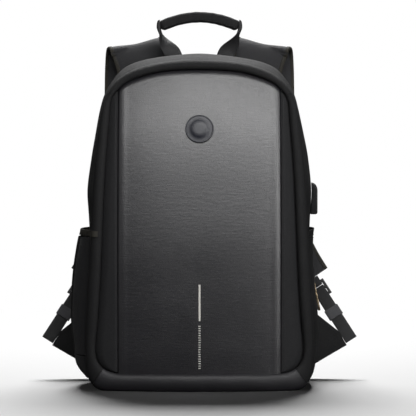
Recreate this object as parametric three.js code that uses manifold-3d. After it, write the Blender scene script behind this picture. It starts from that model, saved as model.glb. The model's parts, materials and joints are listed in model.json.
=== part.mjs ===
// An anti-theft laptop backpack standing on its base, empty but keeping its form.
// Millimetres, +Z up, the front faces -Y, and the origin is on the floor under the middle of the base.
import * as THREE from 'three';
import { mergeVertices } from 'three/addons/utils/BufferGeometryUtils.js';
import Module from 'manifold-3d';

const wasm = await Module();
wasm.setup();

// Overall sizes of the packed body
const HEIGHT = 457;
const HALF_WIDTH = 155;
const FRONT_REACH = 80;
const WIDEST_DEPTH = 10;
const BACK_DEPTH = 66;
const REAR_TAPER_X = 0.045;
const REAR_TAPER_Z = 0.014;

// Walls and the small clearance that sewn pieces keep
const GAP = 0.3;
const CLOTH = 3;
const PANEL_WALL = 3;
const POCKET_WALL = 1.5;
const SEAM_SETBACK = 8;
const SEAM_GAP = 1.3;
const SIDE_CURVE = 14;
const SIDE_CURVE_POWER = 2.5;
const SIDE_CURVE_SHARE = 0.861;

// Front panel, rolls and base
const PANEL_HALF = 110;
const PANEL_BOTTOM = 22;
const PANEL_EDGE_GAP = 0.45;
const STRIP_EDGE_GAP = 0.8;
const GROOVE_SINK = 5;
const GROOVE_BAND = 9;
const STRIP_BAND = 12;
const ROLL_FRONT = 7;
const ROLL_REAR = 3.4;
const ROLL_SEAM = 0.45;
const ROLL_LEAST = 0.8;
const ROLL_FULL = 5;
const BASE_ROLL_FRONT = 8;
const BASE_PLACE = 4.35;

// Back of the bag
const MAIN_ZIP_DEPTH = 33;
const LAPTOP_ZIP_DEPTH = 49;
const ZIP_WIDTH = 9;
const ZIP_RIDGE_WIDTH = 5;
const ZIP_RIDGE = 1.6;
const ZIP_TAPE = 1.4;
const BACK_PAD = 8;
const BACK_PANEL_LIFT = 2;

// Side pockets
const POCKET_SEAM = 0.6;
const POCKET_FRONT = -50;
const POCKET_REAR = 31;
const BOTTLE_BULGE = 22;
const SIDE_BULGE = 14;
const MESH_FRONT = -26;
const POCKET_TRIM_HEIGHT = 9;
const POCKET_TRIM_WALL = 2.4;
const POCKET_CROWN_POWER = 2.6;
const POCKET_TOP_SHARE = 0.475;
const POCKET_CORNER_SHARE = 0.1;

// Charging port on the right side
const PORT_DEPTH = 10;
const PORT_WIDTH = 20;
const PORT_LOW = 235;
const PORT_LENGTH = 43.5;
const PORT_STAND = 7.5;
const PORT_ROOT = 8;
const PORT_BEVEL = 1.5;
const PORT_CORNER = 11;
const PORT_FOOT_CORNER = 3;
const SOCKET_WIDTH = 13;
const SOCKET_DEPTH = 5.4;
const SOCKET_LENGTH = 14;
const SOCKET_WALL = 1.2;

// Carrying handle
const HANDLE_DEPTH = 61;
const HANDLE_RISE = 59;
const HANDLE_HALF = 57;
const HANDLE_FOOT = 36;
const HANDLE_FOOT_WIDTH = 24;
const HANDLE_WEBBING = 2;
const GRIP_HALF = 50;
const GRIP_HEIGHT = 15;
const GRIP_DEPTH = 13;
const GRIP_WALL = 2;
const GRIP_RISE = 11;
const HANDLE_STEPS = 44;

// Shoulder straps and the webbing under them
const STRAP_WIDTH = 78;
const STRAP_PAD = 12;
const STRAP_STAND = 43;
const STRAP_CORNER = 3;
const STRAP_TILT = 12;
const STRAP_STEPS = 28;
const WEBBING_WIDTH = 18;
const WEBBING_WALL = 1.6;
const LOCK_WIDTH = 27;
const LOCK_LENGTH = 24;
const LOCK_WALL = 4;
const LOCK_BAR = 4;
const LOCK_START = 8;
const LOOP_START = 0.8;
const WEBBING_RUN = 93;
const WEBBING_TURN = 1.9;
const WEBBING_DROP = 1.2;
const TAIL_RUN = 104;
const KEEPER_START = 50;
const KEEPER_LENGTH = 15;
const KEEPER_WALL = 1.5;
const WING_WALL = 3.5;
const WING_SEAM = 1;
const WING_DEPTH = 61;
const WING_BOW = 2.5;
const WING_DROP = 7;

// Badge and reflective line on the front panel
const BADGE_HEIGHT = 352.7;
const BADGE_RADIUS = 19.2;
const BADGE_WALL = 1.8;
const BADGE_RIM = 1.6;
const LINE_LOW = 96;
const LINE_HIGH = 144.5;
const LINE_WIDTH = 2.5;
const LINE_WALL = 0.6;

// Zip sliders and their hinged pulls
const SLIDER_HEIGHT = 150;
const SLIDER_LENGTH = 12;
const SLIDER_WIDTH = 8;
const SLIDER_WALL = 3.4;
const LUG_WALL = 1.2;
const LUG_LENGTH = 6;
const LUG_SPACE = 4;
const PIN_LIFT = 3.2;
const PIN_RADIUS = 0.8;
const EYE_CLEARANCE = 0.4;
const EYE_WALL = 0.9;
const PULL_LENGTH = 52;
const PULL_WALL = 2;
const PULL_WIDTH = 9;
const PULL_LEAN = 12;

// The body's loops at each station from the middle of the base, round the right side, to the middle
// of the top. All lengths are shares of HALF_WIDTH (x) and HEIGHT (z). The widest loop is the
// silhouette, the seam joins the side wall to the rolls, and the groove lies inside the rolls.
const stations = [
  { widestX: 0, widestZ: 0, seamX: 0, seamZ: 0, grooveX: 0, grooveZ: 0.0481 },
  { widestX: 0.355, widestZ: 0, seamX: 0.348, seamZ: 0, grooveX: 0.335, grooveZ: 0.0481 },
  { widestX: 0.677, widestZ: 0, seamX: 0.671, seamZ: 0, grooveX: 0.632, grooveZ: 0.0481 },
  { widestX: 0.865, widestZ: 0.0033, seamX: 0.845, seamZ: 0.0033, grooveX: 0.761, grooveZ: 0.0525 },
  { widestX: 0.955, widestZ: 0.0219, seamX: 0.935, seamZ: 0.0219, grooveX: 0.845, grooveZ: 0.0656 },
  { widestX: 0.994, widestZ: 0.0591, seamX: 0.977, seamZ: 0.0591, grooveX: 0.9, grooveZ: 0.0919 },
  { widestX: 0.997, widestZ: 0.1269, seamX: 0.981, seamZ: 0.1269, grooveX: 0.913, grooveZ: 0.1357 },
  { widestX: 0.981, widestZ: 0.2079, seamX: 0.974, seamZ: 0.2079, grooveX: 0.894, grooveZ: 0.2079 },
  { widestX: 0.968, widestZ: 0.2954, seamX: 0.961, seamZ: 0.2954, grooveX: 0.876, grooveZ: 0.2954 },
  { widestX: 0.96, widestZ: 0.3939, seamX: 0.942, seamZ: 0.3939, grooveX: 0.861, grooveZ: 0.3939 },
  { widestX: 0.984, widestZ: 0.5077, seamX: 0.926, seamZ: 0.5033, grooveX: 0.849, grooveZ: 0.5033 },
  { widestX: 1, widestZ: 0.5908, seamX: 0.915, seamZ: 0.5864, grooveX: 0.839, grooveZ: 0.5864 },
  { widestX: 0.968, widestZ: 0.6827, seamX: 0.894, seamZ: 0.674, grooveX: 0.826, grooveZ: 0.6696 },
  { widestX: 0.929, widestZ: 0.7549, seamX: 0.871, seamZ: 0.7484, grooveX: 0.81, grooveZ: 0.744 },
  { widestX: 0.884, widestZ: 0.8315, seamX: 0.839, seamZ: 0.8162, grooveX: 0.795, grooveZ: 0.8096 },
  { widestX: 0.842, widestZ: 0.8796, seamX: 0.803, seamZ: 0.8643, grooveX: 0.781, grooveZ: 0.8578 },
  { widestX: 0.771, widestZ: 0.9212, seamX: 0.745, seamZ: 0.9004, grooveX: 0.723, grooveZ: 0.8884 },
  { widestX: 0.684, widestZ: 0.9532, seamX: 0.665, seamZ: 0.9234, grooveX: 0.645, grooveZ: 0.9114 },
  { widestX: 0.555, widestZ: 0.9737, seamX: 0.539, seamZ: 0.9453, grooveX: 0.523, grooveZ: 0.9289 },
  { widestX: 0.374, widestZ: 0.9869, seamX: 0.368, seamZ: 0.9606, grooveX: 0.361, grooveZ: 0.9433 },
  { widestX: 0.181, widestZ: 0.9956, seamX: 0.181, seamZ: 0.9694, grooveX: 0.181, grooveZ: 0.9497 },
  { widestX: 0, widestZ: 1, seamX: 0, seamZ: 0.9718, grooveX: 0, grooveZ: 0.951 },
];
const TOP_PLACE = stations.length - 1;
const ROLL_MEET_PLACE = 15.3;
const MITRE_PLACE = 3.9;

// The front face's reach at the bag's middle: height as a share of HEIGHT, reach of FRONT_REACH
const profile = [
  { height: 0, reach: 0.95 },
  { height: 0.048, reach: 0.963 },
  { height: 0.131, reach: 0.988 },
  { height: 0.263, reach: 1 },
  { height: 0.438, reach: 0.975 },
  { height: 0.613, reach: 0.875 },
  { height: 0.744, reach: 0.75 },
  { height: 0.853, reach: 0.581 },
  { height: 0.919, reach: 0.45 },
  { height: 1, reach: 0.26 },
];

// How far each side pocket stands off the wall behind it: share of its bulge at each share of HEIGHT
const pocketSwell = [
  { height: 0.03, bottle: 0.02, side: 0.02 },
  { height: 0.07, bottle: 0.56, side: 0.3 },
  { height: 0.13, bottle: 0.74, side: 0.55 },
  { height: 0.2, bottle: 0.97, side: 1 },
  { height: 0.28, bottle: 1, side: 0.78 },
  { height: 0.36, bottle: 0.92, side: 0.58 },
  { height: 0.42, bottle: 0.72, side: 0.5 },
  { height: 0.48, bottle: 0.38, side: 0.46 },
];

const colours = {
  leatherette: 0x2c2b2e,
  woven: 0x29292c,
  body: 0x1f1f21,
  mesh: 0x151517,
  trim: 0x3a3833,
  webbing: 0x1b1b1d,
  plastic: 0x101011,
  gloss: 0x0b0b0c,
  metal: 0xb9a888,
  reflective: 0xe6e4da,
  rubber: 0x1c1f2b,
};

const bag = new THREE.Group();
bag.name = 'anti_theft_backpack';

const vec = (x, y, z) => new THREE.Vector3(x, y, z);

// Adds a named sub-part with a material of its own
function addPart(name, geometry, colour, roughness = 0.8, metalness = 0) {
  const material = new THREE.MeshStandardMaterial({ color: colour, roughness, metalness });
  const mesh = new THREE.Mesh(geometry, material);
  mesh.name = name;
  bag.add(mesh);
  return mesh;
}

// A closed mesh from points and triangles, turned so that its faces point out
function closedMesh(points, triangles) {
  let volume = 0;
  for (const [a, b, c] of triangles) {
    volume += points[a].dot(new THREE.Vector3().crossVectors(points[b], points[c]));
  }
  const order = volume < 0 ? [0, 2, 1] : [0, 1, 2];
  const geometry = new THREE.BufferGeometry();
  geometry.setAttribute(
    'position',
    new THREE.Float32BufferAttribute(points.flatMap((p) => p.toArray()), 3),
  );
  geometry.setIndex(triangles.flatMap((t) => order.map((i) => t[i])));
  return geometry;
}

// A wall between an outer and an inner grid of points, open or joined round along its rows
function wall(outer, inner, joined = false) {
  const rows = outer.length;
  const columns = outer[0].length;
  const points = [...outer.flat(), ...inner.flat()];
  const at = (side, row, column) => (side * rows + (row % rows)) * columns + column;
  const triangles = [];
  const quad = (a, b, c, d) => triangles.push([a, b, c], [a, c, d]);
  const lastRow = joined ? rows : rows - 1;
  for (let i = 0; i < lastRow; i += 1) {
    for (let j = 0; j < columns - 1; j += 1) {
      quad(at(0, i, j), at(0, i + 1, j), at(0, i + 1, j + 1), at(0, i, j + 1));
      quad(at(1, i, j), at(1, i, j + 1), at(1, i + 1, j + 1), at(1, i + 1, j));
    }
    quad(at(0, i, 0), at(1, i, 0), at(1, i + 1, 0), at(0, i + 1, 0));
    const end = columns - 1;
    quad(at(0, i, end), at(0, i + 1, end), at(1, i + 1, end), at(1, i, end));
  }
  if (!joined) {
    for (let j = 0; j < columns - 1; j += 1) {
      quad(at(0, 0, j), at(0, 0, j + 1), at(1, 0, j + 1), at(1, 0, j));
      const last = rows - 1;
      quad(at(0, last, j), at(1, last, j), at(1, last, j + 1), at(0, last, j + 1));
    }
  }
  return closedMesh(points, triangles);
}

// A solid through a row of rings of points, closed at both ends by fans
function ringSolid(rings) {
  const sides = rings[0].length;
  const points = rings.flat();
  const triangles = [];
  for (let i = 0; i < rings.length - 1; i += 1) {
    for (let j = 0; j < sides; j += 1) {
      const next = (j + 1) % sides;
      const here = i * sides;
      triangles.push([here + j, here + next, here + sides + next]);
      triangles.push([here + j, here + sides + next, here + sides + j]);
    }
  }
  for (const [ring, first, flip] of [[rings[0], 0, true], [rings.at(-1), points.length - sides, false]]) {
    const middle = points.length;
    points.push(ring.reduce((sum, p) => sum.add(p), vec(0, 0, 0)).divideScalar(sides));
    for (let j = 0; j < sides; j += 1) {
      const pair = [first + j, first + ((j + 1) % sides)];
      triangles.push(flip ? [middle, pair[1], pair[0]] : [middle, ...pair]);
    }
  }
  return closedMesh(points, triangles);
}

// Turns a geometry into a solid for cutting and joining, and back
function toSolid(geometry) {
  const bare = geometry.clone();
  bare.deleteAttribute('normal');
  bare.deleteAttribute('uv');
  const merged = mergeVertices(bare, 1e-4);
  return new wasm.Manifold(new wasm.Mesh({
    numProp: 3,
    vertProperties: new Float32Array(merged.attributes.position.array),
    triVerts: new Uint32Array(merged.index.array),
  }));
}

function fromSolid(solid) {
  const mesh = solid.getMesh();
  const geometry = new THREE.BufferGeometry();
  geometry.setAttribute('position', new THREE.Float32BufferAttribute(mesh.vertProperties, 3));
  geometry.setIndex(new THREE.Uint32BufferAttribute(mesh.triVerts, 1));
  return geometry;
}

// The value of one column of a table at a key, joined smoothly from row to row
function smooth(rows, key, column, at) {
  const last = rows.length - 1;
  const clamped = Math.min(Math.max(at, rows[0][key]), rows[last][key]);
  let i = 0;
  while (i < last - 1 && clamped > rows[i + 1][key]) i += 1;
  const slope = (j) => {
    const a = rows[Math.max(j - 1, 0)];
    const b = rows[Math.min(j + 1, last)];
    return (b[column] - a[column]) / (b[key] - a[key]);
  };
  const step = rows[i + 1][key] - rows[i][key];
  const t = (clamped - rows[i][key]) / step;
  const rise = rows[i + 1][column] - rows[i][column];
  const curve = t * t * (3 - 2 * t) * rise;
  const ease = t * (1 - t) * step * ((1 - t) * slope(i) - t * slope(i + 1));
  return rows[i][column] + curve + ease;
}

// Evenly spaced values from one number to another, both included
function steps(from, to, count) {
  return Array.from({ length: count + 1 }, (_, i) => from + ((to - from) * i) / count);
}

// One closed loop through the stations, up the right side and down the left
function loopOf(xColumn, zColumn) {
  const right = stations.map((row) => vec(row[xColumn] * HALF_WIDTH, 0, row[zColumn] * HEIGHT));
  const left = right.slice(1, -1).reverse().map((p) => vec(-p.x, 0, p.z));
  const curve = new THREE.CatmullRomCurve3([...right, ...left], true, 'catmullrom', 0.5);
  const count = right.length + left.length;
  return (place) => {
    const point = curve.getPoint((((place / count) % 1) + 1) % 1);
    point.z = Math.max(point.z, 0);
    return point;
  };
}
const widestLoop = loopOf('widestX', 'widestZ');
const seamLoop = loopOf('seamX', 'seamZ');
const grooveLoop = loopOf('grooveX', 'grooveZ');

// The place on a loop, on its right side, where it reaches a height
function placeAtHeight(loop, height) {
  let low = BASE_PLACE - 1;
  let high = TOP_PLACE;
  for (let i = 0; i < 40; i += 1) {
    const middle = (low + high) / 2;
    if (loop(middle).z < height) low = middle;
    else high = middle;
  }
  return (low + high) / 2;
}

// The height of the groove over a distance from the middle
function grooveHeight(x) {
  let low = ROLL_MEET_PLACE - 3;
  let high = TOP_PLACE;
  for (let i = 0; i < 40; i += 1) {
    const middle = (low + high) / 2;
    if (grooveLoop(middle).x > Math.abs(x)) low = middle;
    else high = middle;
  }
  return grooveLoop(high).z;
}

// Depth of the front face
function faceDepth(x, z) {
  const reach = smooth(profile, 'height', 'reach', z / HEIGHT) * FRONT_REACH;
  const edge = SIDE_CURVE_SHARE * HALF_WIDTH;
  return -reach + SIDE_CURVE * (Math.abs(x) / edge) ** SIDE_CURVE_POWER;
}
const facePoint = (x, z, lift = 0) => vec(x, faceDepth(x, z) - lift, z);
const seamDepth = (place) => {
  const edge = grooveLoop(place);
  return faceDepth(edge.x, edge.z) + SEAM_SETBACK;
};

// The body's side, top and bottom surface at a place round it and a depth
function bodyPoint(place, depth) {
  const widest = widestLoop(place);
  if (depth < WIDEST_DEPTH) {
    const share = (WIDEST_DEPTH - depth) / (WIDEST_DEPTH - seamDepth(place));
    widest.lerp(seamLoop(place), share * share);
  } else {
    const share = ((depth - WIDEST_DEPTH) / (BACK_DEPTH - WIDEST_DEPTH)) ** 2;
    widest.x *= 1 - REAR_TAPER_X * share;
    widest.z *= 1 - REAR_TAPER_Z * share;
  }
  widest.y = depth;
  return widest;
}
function bodyNormal(place, depth) {
  const along = bodyPoint(place + 0.05, depth).sub(bodyPoint(place - 0.05, depth));
  const across = bodyPoint(place, depth + 1).sub(bodyPoint(place, depth - 1));
  return across.cross(along).normalize();
}
const bodySkin = (place, depth, lift) => bodyPoint(place, depth)
  .addScaledVector(bodyNormal(place, depth), lift);

// The height of the body's top surface over a distance from the middle, at a depth
function heightOver(x, depth) {
  let low = ROLL_MEET_PLACE - 3;
  let high = TOP_PLACE;
  for (let i = 0; i < 40; i += 1) {
    const middle = (low + high) / 2;
    if (bodyPoint(middle, depth).x > Math.abs(x)) low = middle;
    else high = middle;
  }
  return bodyPoint(high, depth).z;
}

// A wall of the body between two places, from a front depth at each place to a rear depth
function bodyWall(places, frontDepth, rearDepth, columns, thickness) {
  const grid = (lift) => places.map((place) => steps(frontDepth(place), rearDepth, columns)
    .map((depth) => bodySkin(place, depth, lift)));
  return wall(grid(0), grid(-thickness));
}

// Front panel, side strips, and the badge and line on the panel
const grooveSink = (away) => GROOVE_SINK * Math.max(0, 1 - away / GROOVE_BAND) ** 2;

function panelSurface(x, z, lift) {
  const away = grooveHeight(x) - z;
  const point = facePoint(x, z, lift);
  point.y += grooveSink(away);
  return point;
}

function frontPanel() {
  const shares = [0, 0.12, 0.25, 0.38, 0.5, 0.61, 0.71, 0.8, 0.88, 0.94, 0.98, 1];
  const grid = (lift) => steps(-PANEL_HALF + GAP, PANEL_HALF - GAP, 14).map((x) => {
    const low = PANEL_BOTTOM + PANEL_EDGE_GAP;
    const high = grooveHeight(x) - PANEL_EDGE_GAP;
    return shares.map((share) => panelSurface(x, low + (high - low) * share, lift));
  });
  return wall(grid(0), grid(-PANEL_WALL));
}

function sideStrip(side) {
  const places = steps(MITRE_PLACE - 1.1, ROLL_MEET_PLACE + 1, 22);
  const grid = (lift) => places.map((place) => {
    const edge = grooveLoop(place);
    const outer = edge.x - STRIP_EDGE_GAP;
    const height = edge.z + (place < MITRE_PLACE + 1 ? STRIP_EDGE_GAP : 0)
      - (place > ROLL_MEET_PLACE ? STRIP_EDGE_GAP : 0);
    const inner = PANEL_HALF + GAP;
    return steps(inner, Math.max(outer, inner + 1), 3)
      .map((x) => facePoint(x, height, lift))
      .map((p) => vec(side * p.x, p.y + grooveSink(GROOVE_BAND * (outer - p.x) / STRIP_BAND), p.z));
  });
  return wall(grid(0), grid(-PANEL_WALL));
}

// A padded roll between the groove and the seam, from one place to another
function roll(places, front, rear) {
  return ringSolid(places.map((place) => {
    const groove = grooveLoop(place);
    groove.y = faceDepth(groove.x, groove.z);
    const seam = seamLoop(place);
    seam.y = seamDepth(place);
    const across = seam.clone().sub(groove);
    const half = Math.max(across.length() / 2 - ROLL_SEAM, ROLL_LEAST);
    const middle = groove.clone().add(seam).divideScalar(2);
    across.normalize();
    const out = vec(0, -1, 0).addScaledVector(across, across.y).normalize();
    const swell = Math.min(1, half / ROLL_FULL);
    return steps(0, 2 * Math.PI, 10).slice(0, -1).map((turn) => {
      const reach = Math.sin(turn) > 0 ? front : rear;
      return middle.clone().addScaledVector(across, half * Math.cos(turn))
        .addScaledVector(out, reach * swell * Math.sin(turn));
    });
  }));
}

// Base tray and the body's fabric walls
const sideFront = (place) => seamDepth(place) + SEAM_GAP;
const basePlaces = [-BASE_PLACE, -4, -3.5, -3, -2.4, -1.5, -0.5, 0.5, 1.5, 2.4, 3, 3.5, 4, BASE_PLACE];
const wallPlaces = steps(BASE_PLACE + 0.04, 2 * TOP_PLACE - BASE_PLACE - 0.04, 40);
const mainZipRear = MAIN_ZIP_DEPTH + ZIP_WIDTH;
const laptopZipRear = LAPTOP_ZIP_DEPTH + ZIP_WIDTH;

// A zip along the body: a flat tape with the chain standing up along its middle
function zip(frontDepth) {
  const edge = (ZIP_WIDTH - ZIP_RIDGE_WIDTH) / 2;
  const section = [
    { depth: GAP, lift: -ZIP_TAPE * 1.5 },
    { depth: GAP, lift: -ZIP_TAPE / 2 },
    { depth: edge, lift: ZIP_RIDGE },
    { depth: ZIP_WIDTH - edge, lift: ZIP_RIDGE },
    { depth: ZIP_WIDTH - GAP, lift: -ZIP_TAPE / 2 },
    { depth: ZIP_WIDTH - GAP, lift: -ZIP_TAPE * 1.5 },
  ];
  return ringSolid(wallPlaces.map((place) => section
    .map((row) => bodySkin(place, frontDepth + row.depth, row.lift))));
}

// The padded back panel, closing the body behind the rear wall: rings at shares of the way from its
// middle to the body's edge, lifted by shares of BACK_PAD
const padRings = [
  { share: 0.45, lift: 0 },
  { share: 0.998, lift: 0 },
  { share: 1, lift: 0.3 },
  { share: 0.975, lift: 0.75 },
  { share: 0.93, lift: 1 },
  { share: 0.5, lift: 1.12 },
];
function backPanel() {
  const middle = vec(0, 0, HEIGHT * 0.48);
  const places = steps(0, 2 * TOP_PLACE, 36).slice(0, -1);
  const ring = (share, lift) => places.map((place) => {
    const edge = bodyPoint(place, BACK_DEPTH);
    edge.z = Math.max(edge.z, BACK_PANEL_LIFT);
    const point = middle.clone().lerp(edge, share);
    point.y = BACK_DEPTH + GAP + lift;
    return point;
  });
  return ringSolid(padRings.map((row) => ring(row.share, row.lift * BACK_PAD)));
}

// Side pockets: walls that stand off the body, sewn down at the front, the rear and the bottom
function pocketLift(place, depth, column, bulge) {
  const height = bodyPoint(place, depth).z / HEIGHT;
  const across = (depth - POCKET_FRONT) / (POCKET_REAR - POCKET_FRONT);
  const crown = 1 - Math.abs(2 * Math.min(Math.max(across, 0), 1) - 1) ** POCKET_CROWN_POWER;
  return POCKET_SEAM + bulge * smooth(pocketSwell, 'height', column, height) * crown;
}

function pocketWall(side, column, bulge, places, fromDepth, toDepth, columns, thickness) {
  const signed = (place) => (side > 0 ? place : 2 * TOP_PLACE - place);
  const grid = (extra) => places.map((row) => steps(fromDepth, toDepth, columns).map((depth) => {
    const place = signed(row.place ?? row);
    return bodySkin(place, depth, pocketLift(place, depth, column, bulge) + extra);
  }));
  return wall(grid(thickness), grid(0));
}

const pocketTop = placeAtHeight(widestLoop, HEIGHT * POCKET_TOP_SHARE);
const trimLow = placeAtHeight(widestLoop, HEIGHT * POCKET_TOP_SHARE - POCKET_TRIM_HEIGHT);
const cornerTop = placeAtHeight(widestLoop, HEIGHT * POCKET_CORNER_SHARE);
const pocketLow = BASE_PLACE + 0.1;
const SEAM_SLIVER = 0.02;

// Charging port: a rounded housing with its socket facing down
const portOut = HALF_WIDTH + PORT_STAND;
const portHigh = PORT_LOW + PORT_LENGTH;

function chargingPort() {
  const inner = HALF_WIDTH - PORT_ROOT;
  const beyond = PORT_WIDTH * 0.6;
  const shape = new THREE.Shape();
  shape.moveTo(inner, PORT_LOW);
  shape.lineTo(portOut - PORT_FOOT_CORNER, PORT_LOW);
  shape.absarc(
    portOut - PORT_FOOT_CORNER, PORT_LOW + PORT_FOOT_CORNER, PORT_FOOT_CORNER, -Math.PI / 2, 0, false,
  );
  shape.absellipse(
    portOut - PORT_CORNER * 0.7, portHigh - PORT_CORNER, PORT_CORNER * 0.7, PORT_CORNER,
    0, Math.PI / 2, false, 0,
  );
  shape.lineTo(inner, portHigh);
  shape.closePath();
  const block = new THREE.ExtrudeGeometry(shape, {
    depth: PORT_WIDTH - 2 * PORT_BEVEL,
    bevelEnabled: true,
    bevelThickness: PORT_BEVEL,
    bevelSize: PORT_BEVEL,
    bevelOffset: -PORT_BEVEL,
    bevelSegments: 1,
    curveSegments: 6,
  });
  block.rotateX(Math.PI / 2);
  block.translate(0, PORT_DEPTH + PORT_WIDTH / 2 - PORT_BEVEL, 0);
  const places = steps(
    placeAtHeight(widestLoop, PORT_LOW - beyond), placeAtHeight(widestLoop, portHigh + beyond), 6,
  );
  const grid = (lift) => places.map((place) => steps(PORT_DEPTH - PORT_WIDTH, PORT_DEPTH + PORT_WIDTH, 6)
    .map((depth) => bodySkin(place, depth, lift)));
  const behind = wall(grid(GAP), grid(-2 * PORT_ROOT));
  const socket = new THREE.BoxGeometry(SOCKET_DEPTH, SOCKET_WIDTH, 2 * SOCKET_LENGTH);
  socket.translate(portOut - SOCKET_WALL - SOCKET_DEPTH / 2, PORT_DEPTH, PORT_LOW);
  return fromSolid(toSolid(block).subtract(toSolid(behind)).subtract(toSolid(socket)));
}

// A band through rows of centre, across direction, out direction, width and thickness
function band(rows, corner = 0) {
  return ringSolid(rows.map((row) => {
    const half = row.width / 2;
    const thick = row.thick / 2;
    const inset = Math.min(corner, thick * 0.9);
    const outline = corner > 0
      ? [[half, thick - inset], [half - inset, thick], [-half + inset, thick], [-half, thick - inset],
        [-half, inset - thick], [inset - half, -thick], [half - inset, -thick], [half, inset - thick]]
      : [[half, thick], [-half, thick], [-half, -thick], [half, -thick]];
    return outline.map(([a, b]) => row.centre.clone()
      .addScaledVector(row.across, a).addScaledVector(row.out, b));
  }));
}

// A band along a table of points: x, y, z, width, thick, and a turn of its width about its path
function bandAlong(rows, startAcross, count, corner = 0) {
  const curve = new THREE.CatmullRomCurve3(rows.map((r) => vec(r.x, r.y, r.z)), false, 'centripetal');
  const last = rows.length - 1;
  return band(steps(0, 1, count).map((t) => {
    const index = Math.min(Math.floor(t * last), last - 1);
    const mix = t * last - index;
    const value = (column) => THREE.MathUtils.lerp(rows[index][column], rows[index + 1][column], mix);
    const tangent = curve.getTangent(t);
    const across = startAcross.clone().addScaledVector(tangent, -startAcross.dot(tangent)).normalize();
    across.applyAxisAngle(tangent, THREE.MathUtils.degToRad(value('turn')));
    const out = new THREE.Vector3().crossVectors(tangent, across).normalize();
    return { centre: curve.getPoint(t), across, out, width: value('width'), thick: value('thick') };
  }), corner);
}

// Carrying handle: one strap through a folded grip, its feet on the rear wall
const handleTop = HEIGHT + HANDLE_RISE;
const gripMiddle = handleTop - GRIP_HEIGHT / 2;
const gripAt = (x) => gripMiddle - GRIP_RISE * (x / GRIP_HALF) ** 2;

function handleStrap() {
  const foot = heightOver(HANDLE_FOOT - HANDLE_FOOT_WIDTH / 2, HANDLE_DEPTH) + 2 * GAP;
  const rise = handleTop - foot;
  const inGrip = GRIP_DEPTH - 2 * GRIP_WALL - 2 * GAP;
  const legs = [
    { x: HANDLE_FOOT, z: foot, width: HANDLE_FOOT_WIDTH, turn: 0 },
    { x: HANDLE_FOOT, z: foot + rise * 0.04, width: HANDLE_FOOT_WIDTH, turn: 2 },
    { x: HANDLE_FOOT + 3, z: foot + rise * 0.14, width: HANDLE_FOOT_WIDTH, turn: 10 },
    { x: HANDLE_FOOT + 12, z: foot + rise * 0.32, width: HANDLE_FOOT_WIDTH * 0.9, turn: 40 },
    { x: HANDLE_HALF - 3, z: foot + rise * 0.52, width: HANDLE_FOOT_WIDTH * 0.75, turn: 80 },
    { x: HANDLE_HALF, z: foot + rise * 0.68, width: inGrip * 1.4, turn: 90 },
    { x: HANDLE_HALF - 1.5, z: foot + rise * 0.79, width: inGrip, turn: 90 },
  ];
  const inside = [1, 0.8, 0.5, 0.2].map((share) => (
    { x: GRIP_HALF * share, z: gripAt(GRIP_HALF * share), width: inGrip, turn: 90 }));
  const half = [...legs, ...inside];
  const mirrored = half.map((r) => ({ ...r, x: -r.x, turn: 180 - r.turn })).reverse();
  const rows = [...half, { x: 0, z: gripMiddle, width: inGrip, turn: 90 }, ...mirrored]
    .map((r) => ({ ...r, y: HANDLE_DEPTH, thick: HANDLE_WEBBING }));
  return bandAlong(rows, vec(1, 0, 0), HANDLE_STEPS);
}

function handleGrip() {
  const section = (inset) => steps(0, 2 * Math.PI, 12).slice(0, -1).map((turn) => {
    const round = (value) => Math.sign(value) * Math.abs(value) ** 0.6;
    const depth = round(Math.cos(turn)) * (GRIP_DEPTH / 2 - inset);
    const height = round(Math.sin(turn)) * (GRIP_HEIGHT / 2 - inset);
    return [depth, height];
  });
  const rows = steps(-GRIP_HALF, GRIP_HALF, 8);
  const grid = (inset) => section(inset).map(([depth, height]) => rows.map((x) => {
    const slope = Math.atan((2 * GRIP_RISE * x) / GRIP_HALF ** 2);
    return vec(x + height * Math.sin(slope), HANDLE_DEPTH + depth, gripAt(x) + height * Math.cos(slope));
  }));
  return wall(grid(0), grid(GRIP_WALL), true);
}

// Shoulder strap, from the back panel over its arch and down to its free end: x as a share of
// HALF_WIDTH, z of HEIGHT, its stand off the body's rear face of STRAP_STAND, width of STRAP_WIDTH
// and thickness of STRAP_PAD
const strapTable = [
  { x: 0.5032, stand: 0.3326, z: 0.8796, width: 0.86, thick: 0.45 },
  { x: 0.5161, stand: 0.3605, z: 0.9409, width: 0.9, thick: 0.5 },
  { x: 0.5419, stand: 0.4186, z: 0.9956, width: 0.96, thick: 0.65 },
  { x: 0.5742, stand: 0.6279, z: 1.0241, width: 1, thick: 0.8 },
  { x: 0.6, stand: 0.8837, z: 1.0109, width: 1, thick: 0.9 },
  { x: 0.6129, stand: 1, z: 0.9628, width: 1, thick: 1 },
  { x: 0.6194, stand: 1, z: 0.8643, width: 1, thick: 1 },
  { x: 0.6258, stand: 0.9535, z: 0.7221, width: 0.96, thick: 1 },
  { x: 0.671, stand: 0.8837, z: 0.5799, width: 0.88, thick: 1 },
  { x: 0.7806, stand: 0.7907, z: 0.4486, width: 0.8, thick: 0.95 },
  { x: 0.9226, stand: 0.6977, z: 0.3589, width: 0.73, thick: 0.9 },
  { x: 1.0323, stand: 0.6512, z: 0.3042, width: 0.69, thick: 0.7 },
];
const strapRows = strapTable.map((row) => ({
  x: row.x * HALF_WIDTH,
  y: BACK_DEPTH + row.stand * STRAP_STAND,
  z: row.z * HEIGHT,
  width: row.width * STRAP_WIDTH,
  thick: row.thick * STRAP_PAD,
  turn: 0,
}));
const strapTilt = THREE.MathUtils.degToRad(STRAP_TILT);
const strapAcross = vec(Math.cos(strapTilt), 0, -Math.sin(strapTilt));

const shoulderStrap = () => bandAlong(strapRows, strapAcross, STRAP_STEPS, STRAP_CORNER);

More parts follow.
